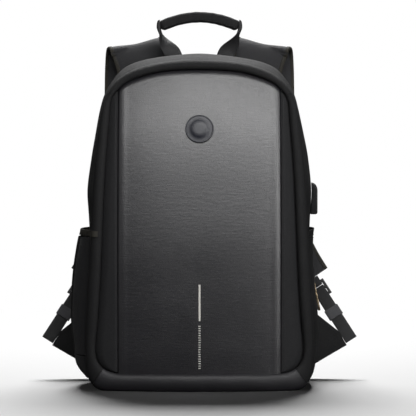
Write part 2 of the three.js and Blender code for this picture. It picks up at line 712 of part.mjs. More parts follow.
// Strap lock, webbing and keeper: they share one line from the strap's end to the wing's tip
const strapEnd = strapRows.at(-1);
const lineStart = vec(strapEnd.x, strapEnd.y, strapEnd.z);
const lineDown = vec(0.53, -0.22, -0.82).normalize();
const levelAcross = vec(0.82, 0, 0.53);
const lineAcross = levelAcross.clone().addScaledVector(lineDown, -levelAcross.dot(lineDown)).normalize();
const lineOut = new THREE.Vector3().crossVectors(lineDown, lineAcross).normalize();
const lockMiddle = LOCK_START + LOCK_LENGTH / 2;

// A point in the lock's own directions: along the line, across it and out of its face
const onLine = (along, across, out) => lineStart.clone().addScaledVector(lineDown, along)
  .addScaledVector(lineAcross, across).addScaledVector(lineOut, out);
const mirror = (geometry, side) => {
  if (side > 0) return geometry;
  const position = geometry.attributes.position;
  const points = [];
  for (let i = 0; i < position.count; i += 1) {
    points.push(vec(-position.getX(i), position.getY(i), position.getZ(i)));
  }
  const index = Array.from(geometry.index.array);
  const triangles = [];
  for (let i = 0; i < index.length; i += 3) triangles.push([index[i], index[i + 1], index[i + 2]]);
  return closedMesh(points, triangles);
};

function lockSlab(alongFrom, alongTo, halfAcross, halfOut) {
  const ring = (along) => [[1, 1], [-1, 1], [-1, -1], [1, -1]]
    .map(([a, b]) => onLine(along, a * halfAcross, b * halfOut));
  return ringSolid([ring(alongFrom), ring(alongTo)]);
}

function strapLock() {
  const slotHalf = LOCK_WIDTH / 2 - LOCK_BAR;
  const slotLength = (LOCK_LENGTH - 3 * LOCK_BAR) / 2;
  let solid = toSolid(lockSlab(LOCK_START, LOCK_START + LOCK_LENGTH, LOCK_WIDTH / 2, LOCK_WALL / 2));
  for (const slot of [0, 1]) {
    const from = LOCK_START + LOCK_BAR + slot * (slotLength + LOCK_BAR);
    solid = solid.subtract(toSolid(lockSlab(from, from + slotLength, slotHalf, LOCK_WALL)));
  }
  return fromSolid(solid);
}

// The webbing lies clear of the lock's faces and turns in the slot above its middle bar
const webbingLift = LOCK_WALL / 2 + GAP + WEBBING_WALL / 2;
const slotTurn = lockMiddle - LOCK_BAR / 2 - WEBBING_TURN;

// A ribbon through a table of places along the line and out of it
function ribbon(rows, count) {
  const half = WEBBING_WIDTH / 2;
  const curve = new THREE.CatmullRomCurve3(rows.map((r) => vec(r.along, r.out, 0)), false, 'centripetal');
  return ringSolid(steps(0, 1, count).map((t) => {
    const point = curve.getPoint(t);
    const lift = curve.getTangent(t).multiplyScalar(WEBBING_WALL / 2);
    return [[half, 1], [-half, 1], [-half, -1], [half, -1]]
      .map(([across, s]) => onLine(point.x - s * lift.y, across, point.y + s * lift.x));
  }));
}

// The webbing's free tail and its run, passed round the lock's middle bar
function strapWebbing() {
  const belowLock = LOCK_START + LOCK_LENGTH + LOCK_BAR;
  const upper = [
    { along: belowLock, out: webbingLift },
    { along: lockMiddle + LOCK_BAR / 2, out: webbingLift },
    { along: lockMiddle - LOCK_BAR / 4, out: webbingLift },
    { along: slotTurn + 0.4, out: webbingLift * 0.72 },
  ];
  const lower = upper.map((row) => ({ along: row.along, out: -row.out })).reverse();
  return ribbon([
    { along: TAIL_RUN, out: webbingLift - WEBBING_DROP },
    { along: TAIL_RUN - WEBBING_WIDTH, out: webbingLift - WEBBING_DROP / 2 },
    ...upper,
    { along: slotTurn, out: 0 },
    ...lower,
    { along: WEBBING_RUN - WEBBING_WIDTH, out: WEBBING_DROP / 2 - webbingLift },
    { along: WEBBING_RUN, out: WEBBING_DROP - webbingLift },
  ], 38);
}

// The short loop that holds the lock's upper bar to the strap's end
function lockLoop() {
  const barMiddle = LOCK_START + LOCK_BAR / 2;
  const turnAt = barMiddle + LOCK_BAR / 2 + 2 * GAP + WEBBING_WALL / 2;
  const upper = [
    { along: LOOP_START, out: webbingLift },
    { along: barMiddle, out: webbingLift },
    { along: turnAt, out: webbingLift * 0.72 },
  ];
  const lower = upper.map((row) => ({ along: row.along, out: -row.out })).reverse();
  return ribbon([...upper, { along: turnAt + 0.5, out: 0 }, ...lower], 16);
}

function keeper() {
  const reach = webbingLift + WEBBING_WALL / 2 + GAP;
  const half = WEBBING_WIDTH / 2 + GAP;
  const grid = (extra) => [[1, 1], [-1, 1], [-1, -1], [1, -1]]
    .map(([a, b]) => steps(KEEPER_START, KEEPER_START + KEEPER_LENGTH, 1)
      .map((along) => onLine(along, a * (half + extra), b * (reach + extra))));
  return wall(grid(KEEPER_WALL), grid(0), true);
}

// Triangular wing from the body's lower rear edge to the webbing's end: each edge's height at the
// body as a share of HEIGHT, and its tip's place beside the webbing's end
const wingEdges = {
  low: { height: 0.02, tipX: -1, tipZ: -16 },
  high: { height: 0.235, tipX: -13, tipZ: 4 },
};
function wing() {
  const end = onLine(WEBBING_RUN, 0, 0);
  const tip = (edge) => vec(end.x + edge.tipX, end.y - WING_DROP, end.z + edge.tipZ);
  const grid = (lift) => steps(0, 1, 7).map((row) => row ** 1.7).map((row) => {
    const height = HEIGHT * THREE.MathUtils.lerp(wingEdges.low.height, wingEdges.high.height, row);
    const root = bodySkin(placeAtHeight(widestLoop, height), WING_DEPTH, WING_SEAM);
    const far = tip(wingEdges.low).lerp(tip(wingEdges.high), row);
    return steps(0, 1, 6).map((share) => {
      const point = root.clone().lerp(far, share);
      point.y += lift + WING_BOW * Math.sin(Math.PI * share);
      return point;
    });
  });
  return wall(grid(0), grid(WING_WALL));
}

// Zip slider and hinged pull. In their group X points out of the wall, Y across it and Z along the zip.
function sliderGroup(zipFront) {
  const depth = zipFront + ZIP_WIDTH / 2;
  const place = placeAtHeight(widestLoop, SLIDER_HEIGHT);
  const out = bodyNormal(place, depth).setZ(0).normalize();
  const seats = [-0.3, 0, 0.3].map((shift) => bodySkin(place + shift, depth, ZIP_RIDGE + GAP));
  const group = new THREE.Group();
  group.position.copy(seats[1]);
  group.position.addScaledVector(out, Math.max(...seats.map((p) => p.dot(out))) - seats[1].dot(out));
  group.rotation.z = Math.atan2(out.y, out.x);
  return group;
}

function block([x0, x1], [y0, y1], [z0, z1]) {
  const box = new THREE.BoxGeometry(x1 - x0, y1 - y0, z1 - z0);
  box.translate((x0 + x1) / 2, (y0 + y1) / 2, (z0 + z1) / 2);
  return toSolid(box);
}

function crossBar(radius, length, lift) {
  const bar = new THREE.CylinderGeometry(radius, radius, length, 10);
  bar.translate(lift, 0, 0);
  return toSolid(bar);
}

const pinLift = SLIDER_WALL + PIN_LIFT;

function zipSlider() {
  const half = SLIDER_WIDTH / 2;
  const lugInner = LUG_SPACE / 2;
  const lugTop = pinLift + PIN_RADIUS + LUG_WALL / 2;
  let solid = block([0, SLIDER_WALL], [-half, half], [-SLIDER_LENGTH / 2, SLIDER_LENGTH / 2]);
  for (const from of [-lugInner - LUG_WALL, lugInner]) {
    const across = [from, from + LUG_WALL];
    solid = solid.add(block([SLIDER_WALL / 2, lugTop], across, [-LUG_LENGTH / 2, LUG_LENGTH / 2]));
  }
  return fromSolid(solid.add(crossBar(PIN_RADIUS, LUG_SPACE + LUG_WALL, pinLift)));
}

// Half widths of the pull along its length, as shares of PULL_WIDTH and PULL_LENGTH
const pullOutline = [
  { along: 0.16, half: 0.42 },
  { along: 0.46, half: 0.42 },
  { along: 0.5, half: 0.28 },
  { along: 0.54, half: 0.5 },
  { along: 0.9, half: 0.55 },
  { along: 0.97, half: 0.42 },
  { along: 1, half: 0.22 },
];

function zipPull() {
  const neck = LUG_SPACE / 2 - EYE_CLEARANCE;
  const eye = PIN_RADIUS + EYE_CLEARANCE;
  const rows = [
    { along: eye, half: neck },
    { along: LUG_LENGTH, half: neck },
    ...pullOutline.map((row) => ({ along: row.along * PULL_LENGTH, half: row.half * PULL_WIDTH })),
  ];
  const body = ringSolid(rows.map(({ along, half }) => {
    const thick = along > LUG_LENGTH ? PULL_WALL * 0.7 : PULL_WALL / 2;
    return [[1, 1], [1, -1], [-1, -1], [-1, 1]]
      .map(([out, across]) => vec(out * thick, across * half, -along));
  }));
  const ring = crossBar(eye + EYE_WALL, 2 * neck, 0);
  return fromSolid(toSolid(body).add(ring).subtract(crossBar(eye, 2 * PULL_WIDTH, 0)));
}

// Badge: a flat disc with a raised rim, lying on the front panel
function badge() {
  const reach = BADGE_RADIUS * 0.8;
  const slope = (faceDepth(0, BADGE_HEIGHT + reach) - faceDepth(0, BADGE_HEIGHT - reach)) / (2 * reach);
  const rim = BADGE_RADIUS - BADGE_RIM;
  const disc = new THREE.LatheGeometry([
    new THREE.Vector2(0, 0),
    new THREE.Vector2(BADGE_RADIUS, 0),
    new THREE.Vector2(BADGE_RADIUS, BADGE_WALL),
    new THREE.Vector2(rim, BADGE_WALL),
    new THREE.Vector2(rim - 0.5, BADGE_WALL * 0.6),
    new THREE.Vector2(0, BADGE_WALL * 0.6),
  ], 24);
  disc.rotateX(Math.PI - Math.atan(slope));
  const seat = facePoint(0, BADGE_HEIGHT, 2 * GAP);
  disc.translate(seat.x, seat.y, seat.z);
  return disc;
}

function reflectiveLine() {
  const grid = (lift) => steps(LINE_LOW, LINE_HIGH, 4).map((z) => steps(-LINE_WIDTH / 2, LINE_WIDTH / 2, 1)
    .map((x) => facePoint(x, z, GAP + lift)));
  return wall(grid(LINE_WALL), grid(0));
}

addPart('front_panel', frontPanel(), colours.leatherette, 0.5);
addPart('badge', badge(), colours.rubber, 0.5);
addPart('reflective_line', reflectiveLine(), colours.reflective, 0.4);
addPart('top_roll', roll(steps(ROLL_MEET_PLACE + 0.1, 2 * TOP_PLACE - ROLL_MEET_PLACE - 0.1, 24),
  ROLL_FRONT * 0.9, ROLL_REAR * 0.7), colours.body);
addPart('bottom_roll', roll(steps(-MITRE_PLACE, MITRE_PLACE, 18), BASE_ROLL_FRONT, ROLL_REAR),
  colours.leatherette, 0.45);
addPart('base', bodyWall(basePlaces, sideFront, BACK_DEPTH, 3, CLOTH), colours.leatherette, 0.5);
addPart('gusset', bodyWall(wallPlaces, sideFront, MAIN_ZIP_DEPTH, 4, CLOTH), colours.body);
addPart('main_zip', zip(MAIN_ZIP_DEPTH), colours.plastic);
addPart('middle_gusset', bodyWall(wallPlaces, () => mainZipRear, LAPTOP_ZIP_DEPTH, 1, CLOTH), colours.body);
addPart('laptop_zip', zip(LAPTOP_ZIP_DEPTH), colours.plastic);
addPart('rear_gusset', bodyWall(wallPlaces, () => laptopZipRear, BACK_DEPTH, 1, CLOTH), colours.body);
addPart('back_panel', backPanel(), colours.mesh);

addPart('bottle_pocket_trim', pocketWall(-1, 'bottle', BOTTLE_BULGE,
  steps(trimLow + SEAM_SLIVER, pocketTop, 1),
  POCKET_FRONT, POCKET_REAR, 10, POCKET_TRIM_WALL), colours.trim);
addPart('bottle_pocket_front', pocketWall(-1, 'bottle', BOTTLE_BULGE,
  steps(cornerTop + SEAM_SLIVER, trimLow - SEAM_SLIVER, 7),
  POCKET_FRONT, MESH_FRONT - GAP, 4, POCKET_WALL), colours.body);
addPart('bottle_pocket_mesh', pocketWall(-1, 'bottle', BOTTLE_BULGE,
  steps(cornerTop + SEAM_SLIVER, trimLow - SEAM_SLIVER, 7),
  MESH_FRONT, POCKET_REAR, 7, POCKET_WALL), colours.mesh);
addPart('bottle_pocket_corner', pocketWall(-1, 'bottle', BOTTLE_BULGE,
  steps(pocketLow, cornerTop - SEAM_SLIVER, 4),
  POCKET_FRONT, POCKET_REAR, 10, POCKET_WALL), colours.body);
addPart('side_pocket', pocketWall(1, 'side', SIDE_BULGE, steps(pocketLow, pocketTop, 10),
  POCKET_FRONT, POCKET_REAR, 10, POCKET_WALL), colours.body);

addPart('charging_port', chargingPort(), colours.gloss, 0.2);
addPart('handle_strap', handleStrap(), colours.webbing);
addPart('handle_grip', handleGrip(), colours.webbing);

for (const [side, word] of [[-1, 'left'], [1, 'right']]) {
  addPart(`side_strip_${word}`, sideStrip(side), colours.woven);
  const ends = side > 0
    ? [MITRE_PLACE + 0.12, ROLL_MEET_PLACE - 0.1]
    : [2 * TOP_PLACE - ROLL_MEET_PLACE + 0.1, 2 * TOP_PLACE - MITRE_PLACE - 0.12];
  addPart(`side_roll_${word}`, roll(steps(...ends, 20), ROLL_FRONT, ROLL_REAR), colours.body);
  addPart(`shoulder_strap_${word}`, mirror(shoulderStrap(), side), colours.body);
  addPart(`strap_lock_${word}`, mirror(strapLock(), side), colours.plastic, 0.4);
  addPart(`lock_loop_${word}`, mirror(lockLoop(), side), colours.webbing);
  addPart(`strap_webbing_${word}`, mirror(strapWebbing(), side), colours.webbing);
  addPart(`webbing_keeper_${word}`, mirror(keeper(), side), colours.trim);
  addPart(`strap_wing_${word}`, mirror(wing(), side), colours.body);
}

for (const [word, depth] of [['main', MAIN_ZIP_DEPTH], ['laptop', LAPTOP_ZIP_DEPTH]]) {
  const group = sliderGroup(depth);
  bag.add(group);
  group.add(addPart(`${word}_slider`, zipSlider(), colours.metal, 0.3, 1));
  const pull = addPart(`${word}_pull`, zipPull(), colours.metal, 0.3, 1);
  pull.position.x = pinLift;
  pull.rotation.y = -THREE.MathUtils.degToRad(PULL_LEAN);
  group.add(pull);
}

export default bag;
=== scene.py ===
import json
import math

import bmesh
import bpy
import numpy as np
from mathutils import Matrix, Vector
from bpy.props import FloatProperty, FloatVectorProperty, PointerProperty

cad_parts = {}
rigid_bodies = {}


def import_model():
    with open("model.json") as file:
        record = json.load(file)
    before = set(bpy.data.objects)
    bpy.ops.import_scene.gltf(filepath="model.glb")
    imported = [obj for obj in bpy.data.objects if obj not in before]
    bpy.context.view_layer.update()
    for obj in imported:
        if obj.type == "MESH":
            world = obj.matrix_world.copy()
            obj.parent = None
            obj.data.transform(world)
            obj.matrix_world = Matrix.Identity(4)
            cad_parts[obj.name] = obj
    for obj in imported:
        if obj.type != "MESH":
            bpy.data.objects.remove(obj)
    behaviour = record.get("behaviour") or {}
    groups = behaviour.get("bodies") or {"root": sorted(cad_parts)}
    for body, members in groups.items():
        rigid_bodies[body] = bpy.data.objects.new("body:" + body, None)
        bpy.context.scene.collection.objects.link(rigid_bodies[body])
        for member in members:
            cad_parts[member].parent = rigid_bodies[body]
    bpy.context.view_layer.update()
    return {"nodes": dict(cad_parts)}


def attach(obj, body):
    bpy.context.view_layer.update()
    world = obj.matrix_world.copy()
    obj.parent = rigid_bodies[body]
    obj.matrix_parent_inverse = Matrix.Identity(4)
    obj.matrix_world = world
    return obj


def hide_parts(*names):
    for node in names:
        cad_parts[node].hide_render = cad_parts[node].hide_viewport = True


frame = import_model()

bl_info = {
    "name": "Laptop backpack",
    "version": (1, 0, 0),
    "blender": (4, 5, 0),
    "location": "3D View > Sidebar > Backpack",
    "description": "Dresses a laptop backpack in coated cloth, webbing, mesh, zips and moulded parts",
    "category": "Object",
}

MM = 0.001

# Driving sizes of the bag, in millimetres, as in its solids
HEIGHT = 457
HALF_WIDTH = 155
FRONT_REACH = 80
WIDEST_DEPTH = 10
BACK_DEPTH = 66
REAR_TAPER_X = 0.045
REAR_TAPER_Z = 0.014
GAP = 0.3
CLOTH = 3
SEAM_SETBACK = 8
SEAM_GAP = 1.3
SIDE_CURVE = 14
SIDE_CURVE_POWER = 2.5
PANEL_HALF = 110
PANEL_BOTTOM = 22
PANEL_EDGE_GAP = 0.45
STRIP_SEAM = 3.2
STRIP_BAND = 12
STRIP_EDGE_GAP = 0.8
GROOVE_SINK = 5
GROOVE_BAND = 9
ROLL_FRONT = 7
ROLL_REAR = 3.4
ROLL_SEAM = 0.45
ROLL_LEAST = 0.8
ROLL_LAP = 1.9
ROLL_END = 0.02
ROLL_FULL = 5
BASE_ROLL_FRONT = 8
BASE_PLACE = 4.35
ROLL_MEET_PLACE = 15.3
MITRE_PLACE = 3.9
MAIN_ZIP_DEPTH = 33
LAPTOP_ZIP_DEPTH = 49
ZIP_WIDTH = 9
BACK_PAD = 8
POCKET_SEAM = 0.6
POCKET_FRONT = -50
POCKET_REAR = 31
POCKET_TOP = 0.475
POCKET_TRIM_HEIGHT = 9
POCKET_CORNER_TOP = 0.1
MESH_FRONT = -26
HANDLE_DEPTH = 61
HANDLE_RISE = 59
HANDLE_TOP = HEIGHT + HANDLE_RISE
HANDLE_HALF = 57
HANDLE_FOOT = 36
HANDLE_FOOT_WIDTH = 24
GRIP_HALF = 50
GRIP_HEIGHT = 15
GRIP_DEPTH = 13
GRIP_WALL = 2
GRIP_TUCK = 0.5
GRIP_TUCK_RUN = 5
GRIP_REACH = 5
HANDLE_FOLD = 2.2
GRIP_RISE = 11
STRAP_WIDTH = 78
STRAP_PAD = 12
STRAP_TILT = 12
WEBBING_WIDTH = 18
WEBBING_WALL = 1.6
LOCK_LENGTH = 24
LOCK_WALL = 4
LOCK_BAR = 4
LOCK_START = 8
LOOP_START = 0.8
WEBBING_RUN = 93
WEBBING_TURN = 1.9
WEBBING_DROP = 1.2
TAIL_RUN = 104
KEEPER_START = 50
KEEPER_LENGTH = 15
KEEPER_WALL = 1.5
WING_WALL = 3.5
WING_SEAM = 1
WING_DEPTH = 61
BADGE_HEIGHT = 352.7
BADGE_RADIUS = 19.2
LINE_LOW = 96
LINE_HIGH = 144.5
TICKS_LOW = 32
TICKS_HIGH = 89
TICK_LENGTH = 1.1
TICK_WIDTH = 3.2
TICK_THICKNESS = 0.25

# The body's loops, each row from the middle of the base up the right side to the middle of the top:
# widest x and z, seam x and z, groove x and z, as shares of HALF_WIDTH and HEIGHT
STATIONS = (
    (0, 0, 0, 0, 0, 0.0481),
    (0.355, 0, 0.348, 0, 0.335, 0.0481),
    (0.677, 0, 0.671, 0, 0.632, 0.0481),
    (0.865, 0.0033, 0.845, 0.0033, 0.761, 0.0525),
    (0.955, 0.0219, 0.935, 0.0219, 0.845, 0.0656),
    (0.994, 0.0591, 0.977, 0.0591, 0.9, 0.0919),
    (0.997, 0.1269, 0.981, 0.1269, 0.913, 0.1357),
    (0.981, 0.2079, 0.974, 0.2079, 0.894, 0.2079),
    (0.968, 0.2954, 0.961, 0.2954, 0.876, 0.2954),
    (0.96, 0.3939, 0.942, 0.3939, 0.861, 0.3939),
    (0.984, 0.5077, 0.926, 0.5033, 0.849, 0.5033),
    (1, 0.5908, 0.915, 0.5864, 0.839, 0.5864),
    (0.968, 0.6827, 0.894, 0.674, 0.826, 0.6696),
    (0.929, 0.7549, 0.871, 0.7484, 0.81, 0.744),
    (0.884, 0.8315, 0.839, 0.8162, 0.795, 0.8096),
    (0.842, 0.8796, 0.803, 0.8643, 0.781, 0.8578),
    (0.771, 0.9212, 0.745, 0.9004, 0.723, 0.8884),
    (0.684, 0.9532, 0.665, 0.9234, 0.645, 0.9114),
    (0.555, 0.9737, 0.539, 0.9453, 0.523, 0.9289),
    (0.374, 0.9869, 0.368, 0.9606, 0.361, 0.9433),
    (0.181, 0.9956, 0.181, 0.9694, 0.181, 0.9497),
    (0, 1, 0, 0.9718, 0, 0.951),
)
TOP_PLACE = len(STATIONS) - 1
EDGE_STATION = 9

# The front face's reach at the middle: share of HEIGHT, share of FRONT_REACH
PROFILE = (
    (0, 0.95), (0.048, 0.963), (0.131, 0.988), (0.263, 1), (0.438, 0.975),
    (0.613, 0.875), (0.744, 0.75), (0.853, 0.581), (0.919, 0.45), (1, 0.26),
)

# How far each pocket stands off the wall: share of HEIGHT, share of the pocket's bulge
BOTTLE_SWELL = (
    (0.03, 0.02), (0.07, 0.56), (0.13, 0.74), (0.2, 0.97), (0.28, 1), (0.36, 0.92), (0.42, 0.72),
    (0.48, 0.38),
)
SIDE_SWELL = (
    (0.03, 0.02), (0.07, 0.3), (0.13, 0.55), (0.2, 1), (0.28, 0.78), (0.36, 0.58), (0.42, 0.5), (0.48, 0.46),
)
BOTTLE_BULGE = 22
SIDE_BULGE = 8

# The shoulder strap from its seam over the arch to its end: x, y behind the body, z,
# width as a share of STRAP_WIDTH, thickness as a share of STRAP_PAD
STRAP_ROWS = (
    (78, 14.3, 402, 0.86, 0.45),
    (80, 15.5, 430, 0.9, 0.5),
    (84, 18, 455, 0.96, 0.65),
    (89, 27, 468, 1, 0.8),
    (93, 38, 462, 1, 0.9),
    (95, 43, 440, 1, 1),
    (96, 43, 395, 1, 1),
    (97, 41, 330, 0.96, 1),
    (104, 38, 265, 0.88, 1),
    (121, 34, 205, 0.8, 0.95),
    (143, 30, 164, 0.73, 0.9),
    (160, 28, 139, 0.69, 0.7),
)


def linear(text):
    """An sRGB hex colour as linear values."""
    values = [int(text[i:i + 2], 16) / 255 for i in (1, 3, 5)]
    return tuple(v / 12.92 if v <= 0.04045 else ((v + 0.055) / 1.055) ** 2.4 for v in values)


def size(name, millimetres, words):
    return FloatProperty(name=name, description=words, default=millimetres * MM, unit="LENGTH", precision=5)


def colour(name, text, words):
    return FloatVectorProperty(
        name=name, description=words, default=linear(text), subtype="COLOR", size=3, min=0, max=1,
    )


class BackpackSizes(bpy.types.PropertyGroup):
    """Sizes of the sewn and woven details"""

    stitch_pitch: size("Stitch pitch", 3.6, "From one stitch to the next")
    stitch_length: size("Stitch length", 2.7, "Length of the thread that shows in a stitch")
    thread: size("Thread", 0.55, "Diameter of the sewing thread")
    tooth_pitch: size("Zip pitch", 1.9, "From one turn of the zip's coil to the next")
    tooth: size("Zip coil wire", 1.1, "Diameter of the zip coil's wire")
    grain: size("Leather grain", 1.5, "Width of one pebble in the coated cloth's grain")
    twill: size("Twill spacing", 1.6, "From one diagonal rib of the twill to the next")
    weave: size("Weave spacing", 1.3, "From one thread of the plain weave to the next")
    mesh_hole: size("Mesh hole spacing", 2.6, "From one hole of the knitted mesh to the next")
    rib: size("Webbing rib spacing", 1.5, "From one rib of the webbing to the next")
    gather: size("Pocket gather spacing", 7.5, "From one gather of the mesh pocket to the next")
    tick_pitch: size("Tick pitch", 3.1, "From one pale tick to the next below the reflective line")


class BackpackColours(bpy.types.PropertyGroup):
    """Colours of the backpack's materials"""

    leatherette: colour("Coated cloth", "#131216", "Dark grey coated cloth of the front panel")
    twill: colour("Twill", "#131315", "Woven twill of the side strips and the pocket strip")
    strap: colour("Strap twill", "#222224", "Woven twill of the strap faces")
    cloth: colour("Body cloth", "#0f0f10", "Plain-woven cloth of the body")
    mesh: colour("Mesh", "#090909", "Knitted mesh of the pocket and the back")
    webbing: colour("Webbing", "#101012", "Ribbed webbing")
    elastic: colour("Elastic", "#3a3a3d", "Elastic band of the webbing keepers")
    binding: colour("Binding", "#26241f", "Flat binding tape with a slight olive cast")
    thread: colour("Thread", "#1b1b1d", "Sewing thread")
    coil: colour("Zip", "#0c0c0d", "Zip coil and tape")
    acetal: colour("Acetal", "#0b0b0c", "Moulded buckles")
    rubber: colour("Port rubber", "#0d0d0f", "Moulded rubber of the charging port")
    badge: colour("Badge", "#12141f", "Dark blue moulded badge")
    pale: colour("Pale print", "#cfcdc6", "Pale ticks and reflective tape")
    metal: colour("Plating", "#a8977c", "Pale gold plating of the zip pulls")
    floor: colour("Floor", "#d6d6d6", "Pale studio floor")


# Geometry of the body, in millimetres, on numpy arrays

def loop(x_column):
    """The closed loop through one pair of station columns: place round the body to x and z."""
    right = np.array([row[x_column:x_column + 2] for row in STATIONS]) * (HALF_WIDTH, HEIGHT)
    points = np.vstack([right, right[-2:0:-1] * (-1, 1)])
    count = len(points)

    def at(place):
        place = np.asarray(place, float)
        index = np.floor(place).astype(int)
        t = (place - index)[..., None]
        before, here, there, after = (points[(index + k) % count] for k in (-1, 0, 1, 2))
        start, end = (there - before) / 2, (after - here) / 2
        value = (here + start * t + (3 * (there - here) - 2 * start - end) * t ** 2
                 + (2 * (here - there) + start + end) * t ** 3)
        value[..., 1] = np.maximum(value[..., 1], 0)
        return value
    return at


widest_loop, seam_loop, groove_loop = loop(0), loop(2), loop(4)


def smooth(rows, column, at):
    """The value of one column at a key in the first column, joined smoothly from row to row."""
    table = np.array(rows, float)
    keys, values = table[:, 0], table[:, column]
    last = len(keys) - 1
    at = np.clip(at, keys[0], keys[-1])
    i = np.clip(np.searchsorted(keys, at, side="left") - 1, 0, last - 1)
    low, high = np.maximum(np.arange(last + 1) - 1, 0), np.minimum(np.arange(last + 1) + 1, last)
    slopes = (values[high] - values[low]) / (keys[high] - keys[low])
    step = keys[i + 1] - keys[i]
    t = (at - keys[i]) / step
    rise = values[i + 1] - values[i]
    ease = t * (1 - t) * step * ((1 - t) * slopes[i] - t * slopes[i + 1])
    return values[i] + t * t * (3 - 2 * t) * rise + ease


def face_depth(x, z):
    reach = smooth(PROFILE, 1, z / HEIGHT) * FRONT_REACH
    edge = STATIONS[EDGE_STATION][4] * HALF_WIDTH
    return -reach + SIDE_CURVE * (np.abs(x) / edge) ** SIDE_CURVE_POWER


def face_point(x, z, lift=0.0):
    return np.stack(np.broadcast_arrays(x, face_depth(x, z) - lift, z), -1).astype(float)


def seam_depth(place):
    edge = groove_loop(place)
    return face_depth(edge[..., 0], edge[..., 1]) + SEAM_SETBACK


def body_point(place, depth):
    """The body's side, top or bottom surface at a place round it and a depth."""
    place, depth = np.broadcast_arrays(np.asarray(place, float), np.asarray(depth, float))
    share = np.maximum(WIDEST_DEPTH - depth, 0) / (WIDEST_DEPTH - seam_depth(place))
    point = widest_loop(place)
    point = point + (seam_loop(place) - point) * (share ** 2)[..., None]
    back = (np.maximum(depth - WIDEST_DEPTH, 0) / (BACK_DEPTH - WIDEST_DEPTH)) ** 2
    x = point[..., 0] * (1 - REAR_TAPER_X * back)
    z = point[..., 1] * (1 - REAR_TAPER_Z * back)
    return np.stack([x, depth, z], -1)


def body_normal(place, depth):
    along = body_point(place + 0.05, depth) - body_point(place - 0.05, depth)
    across = body_point(place, depth + 1) - body_point(place, depth - 1)
    normal = np.cross(across, along)
    return normal / np.linalg.norm(normal, axis=-1, keepdims=True)


def body_skin(place, depth, lift=0.0):
    place, depth = np.broadcast_arrays(np.asarray(place, float), np.asarray(depth, float))
    return body_point(place, depth) + body_normal(place, depth) * np.asarray(lift, float)[..., None]


def bisect(test, low, high):
    """The value at which a test turns from true to false."""
    for _ in range(40):
        middle = (low + high) / 2
        if test(middle):
            low = middle
        else:
            high = middle
    return (low + high) / 2


def place_at_height(height):
    return bisect(lambda p: widest_loop(p)[1] < height, BASE_PLACE - 1, TOP_PLACE)


def groove_height(x):
    place = bisect(lambda p: groove_loop(p)[0] > abs(x), ROLL_MEET_PLACE - 3, TOP_PLACE)
    return groove_loop(place)[1]


def height_over(x, depth):
    place = bisect(lambda p: body_point(p, depth)[0] > abs(x), ROLL_MEET_PLACE - 3, TOP_PLACE)
    return body_point(place, depth)[2]


def groove_sink(away):
    return GROOVE_SINK * np.maximum(0, 1 - away / GROOVE_BAND) ** 2


def waves(a, b, length, seed):
    """Soft uneven waves from -1 to 1 over two coordinates in millimetres, the same on every run."""
    random = np.random.default_rng(seed)
    total = np.zeros(np.broadcast(a, b).shape)
    for _ in range(7):
        angle, phase = random.uniform(0, math.pi), random.uniform(0, 2 * math.pi)
        scale = random.uniform(0.6, 1.7)
        wave_number = 2 * math.pi / (length * scale)
        total += np.sin((a * math.cos(angle) + b * math.sin(angle)) * wave_number + phase)
    return total / 4.5


# Meshes

def new_piece(name, points, faces, uvs=None, material=None, sharp=60, body="bag"):
    """A smooth-shaded object from points in millimetres; uvs are metres for each face corner."""
    mesh = bpy.data.meshes.new(name)
    points = np.asarray(points, float).reshape(-1, 3) * MM
    mesh.from_pydata(points.tolist(), [], faces)
    if uvs is not None:
        layer = mesh.uv_layers.new(name="cloth")
        layer.data.foreach_set("uv", np.asarray(uvs, np.float32).ravel())
    mesh.validate()
    piece = bpy.data.objects.new(name, mesh)
    bpy.context.scene.collection.objects.link(piece)
    finish_piece(piece, material, sharp, body)
    return piece


def finish_piece(piece, material, sharp=60, body="bag"):
    """Points the faces outwards, shades them smooth, and puts the piece on its body."""
    builder = bmesh.new()
    builder.from_mesh(piece.data)
    if builder.calc_volume(signed=True) < 0:
        bmesh.ops.reverse_faces(builder, faces=builder.faces)
    builder.to_mesh(piece.data)
    builder.free()
    piece.data.shade_smooth()
    piece.data.set_sharp_from_angle(angle=math.radians(sharp))
    if material:
        piece.data.materials.clear()
        piece.data.materials.append(material)
    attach(piece, body)


def lengths(grid, axis):
    """Mean distance along one axis of a grid of points, from its start."""
    steps = np.linalg.norm(np.diff(grid, axis=axis), axis=-1).mean(axis=1 - axis)
    return np.concatenate([[0], np.cumsum(steps)]) * MM


def wall(name, outer, inner, material, joined=False, **options):
    """A wall between an outer and an inner grid of points, with its cloth coordinates in metres."""
    rows, columns = outer.shape[:2]
    u, v = lengths(outer, 0), lengths(outer, 1)
    if joined:
        u = np.append(u, u[-1] + np.linalg.norm(outer[0] - outer[-1], axis=-1).mean() * MM)
    points = np.concatenate([outer.reshape(-1, 3), inner.reshape(-1, 3)])
    faces, uvs = [], []

    def quad(*corners):
        faces.append([(side * rows + i % rows) * columns + j for side, i, j in corners])
        uvs.extend((u[i], v[j]) for _, i, j in corners)

    last_row, end = (rows if joined else rows - 1), columns - 1
    for i in range(last_row):
        for j in range(end):
            quad((0, i, j), (0, i + 1, j), (0, i + 1, j + 1), (0, i, j + 1))
            quad((1, i, j), (1, i, j + 1), (1, i + 1, j + 1), (1, i + 1, j))
        quad((0, i, 0), (1, i, 0), (1, i + 1, 0), (0, i + 1, 0))
        quad((0, i, end), (0, i + 1, end), (1, i + 1, end), (1, i, end))
    if not joined:
        for j in range(end):
            quad((0, 0, j), (0, 0, j + 1), (1, 0, j + 1), (1, 0, j))
            quad((0, rows - 1, j), (1, rows - 1, j), (1, rows - 1, j + 1), (0, rows - 1, j + 1))
    return new_piece(name, points, faces, uvs, material, **options)


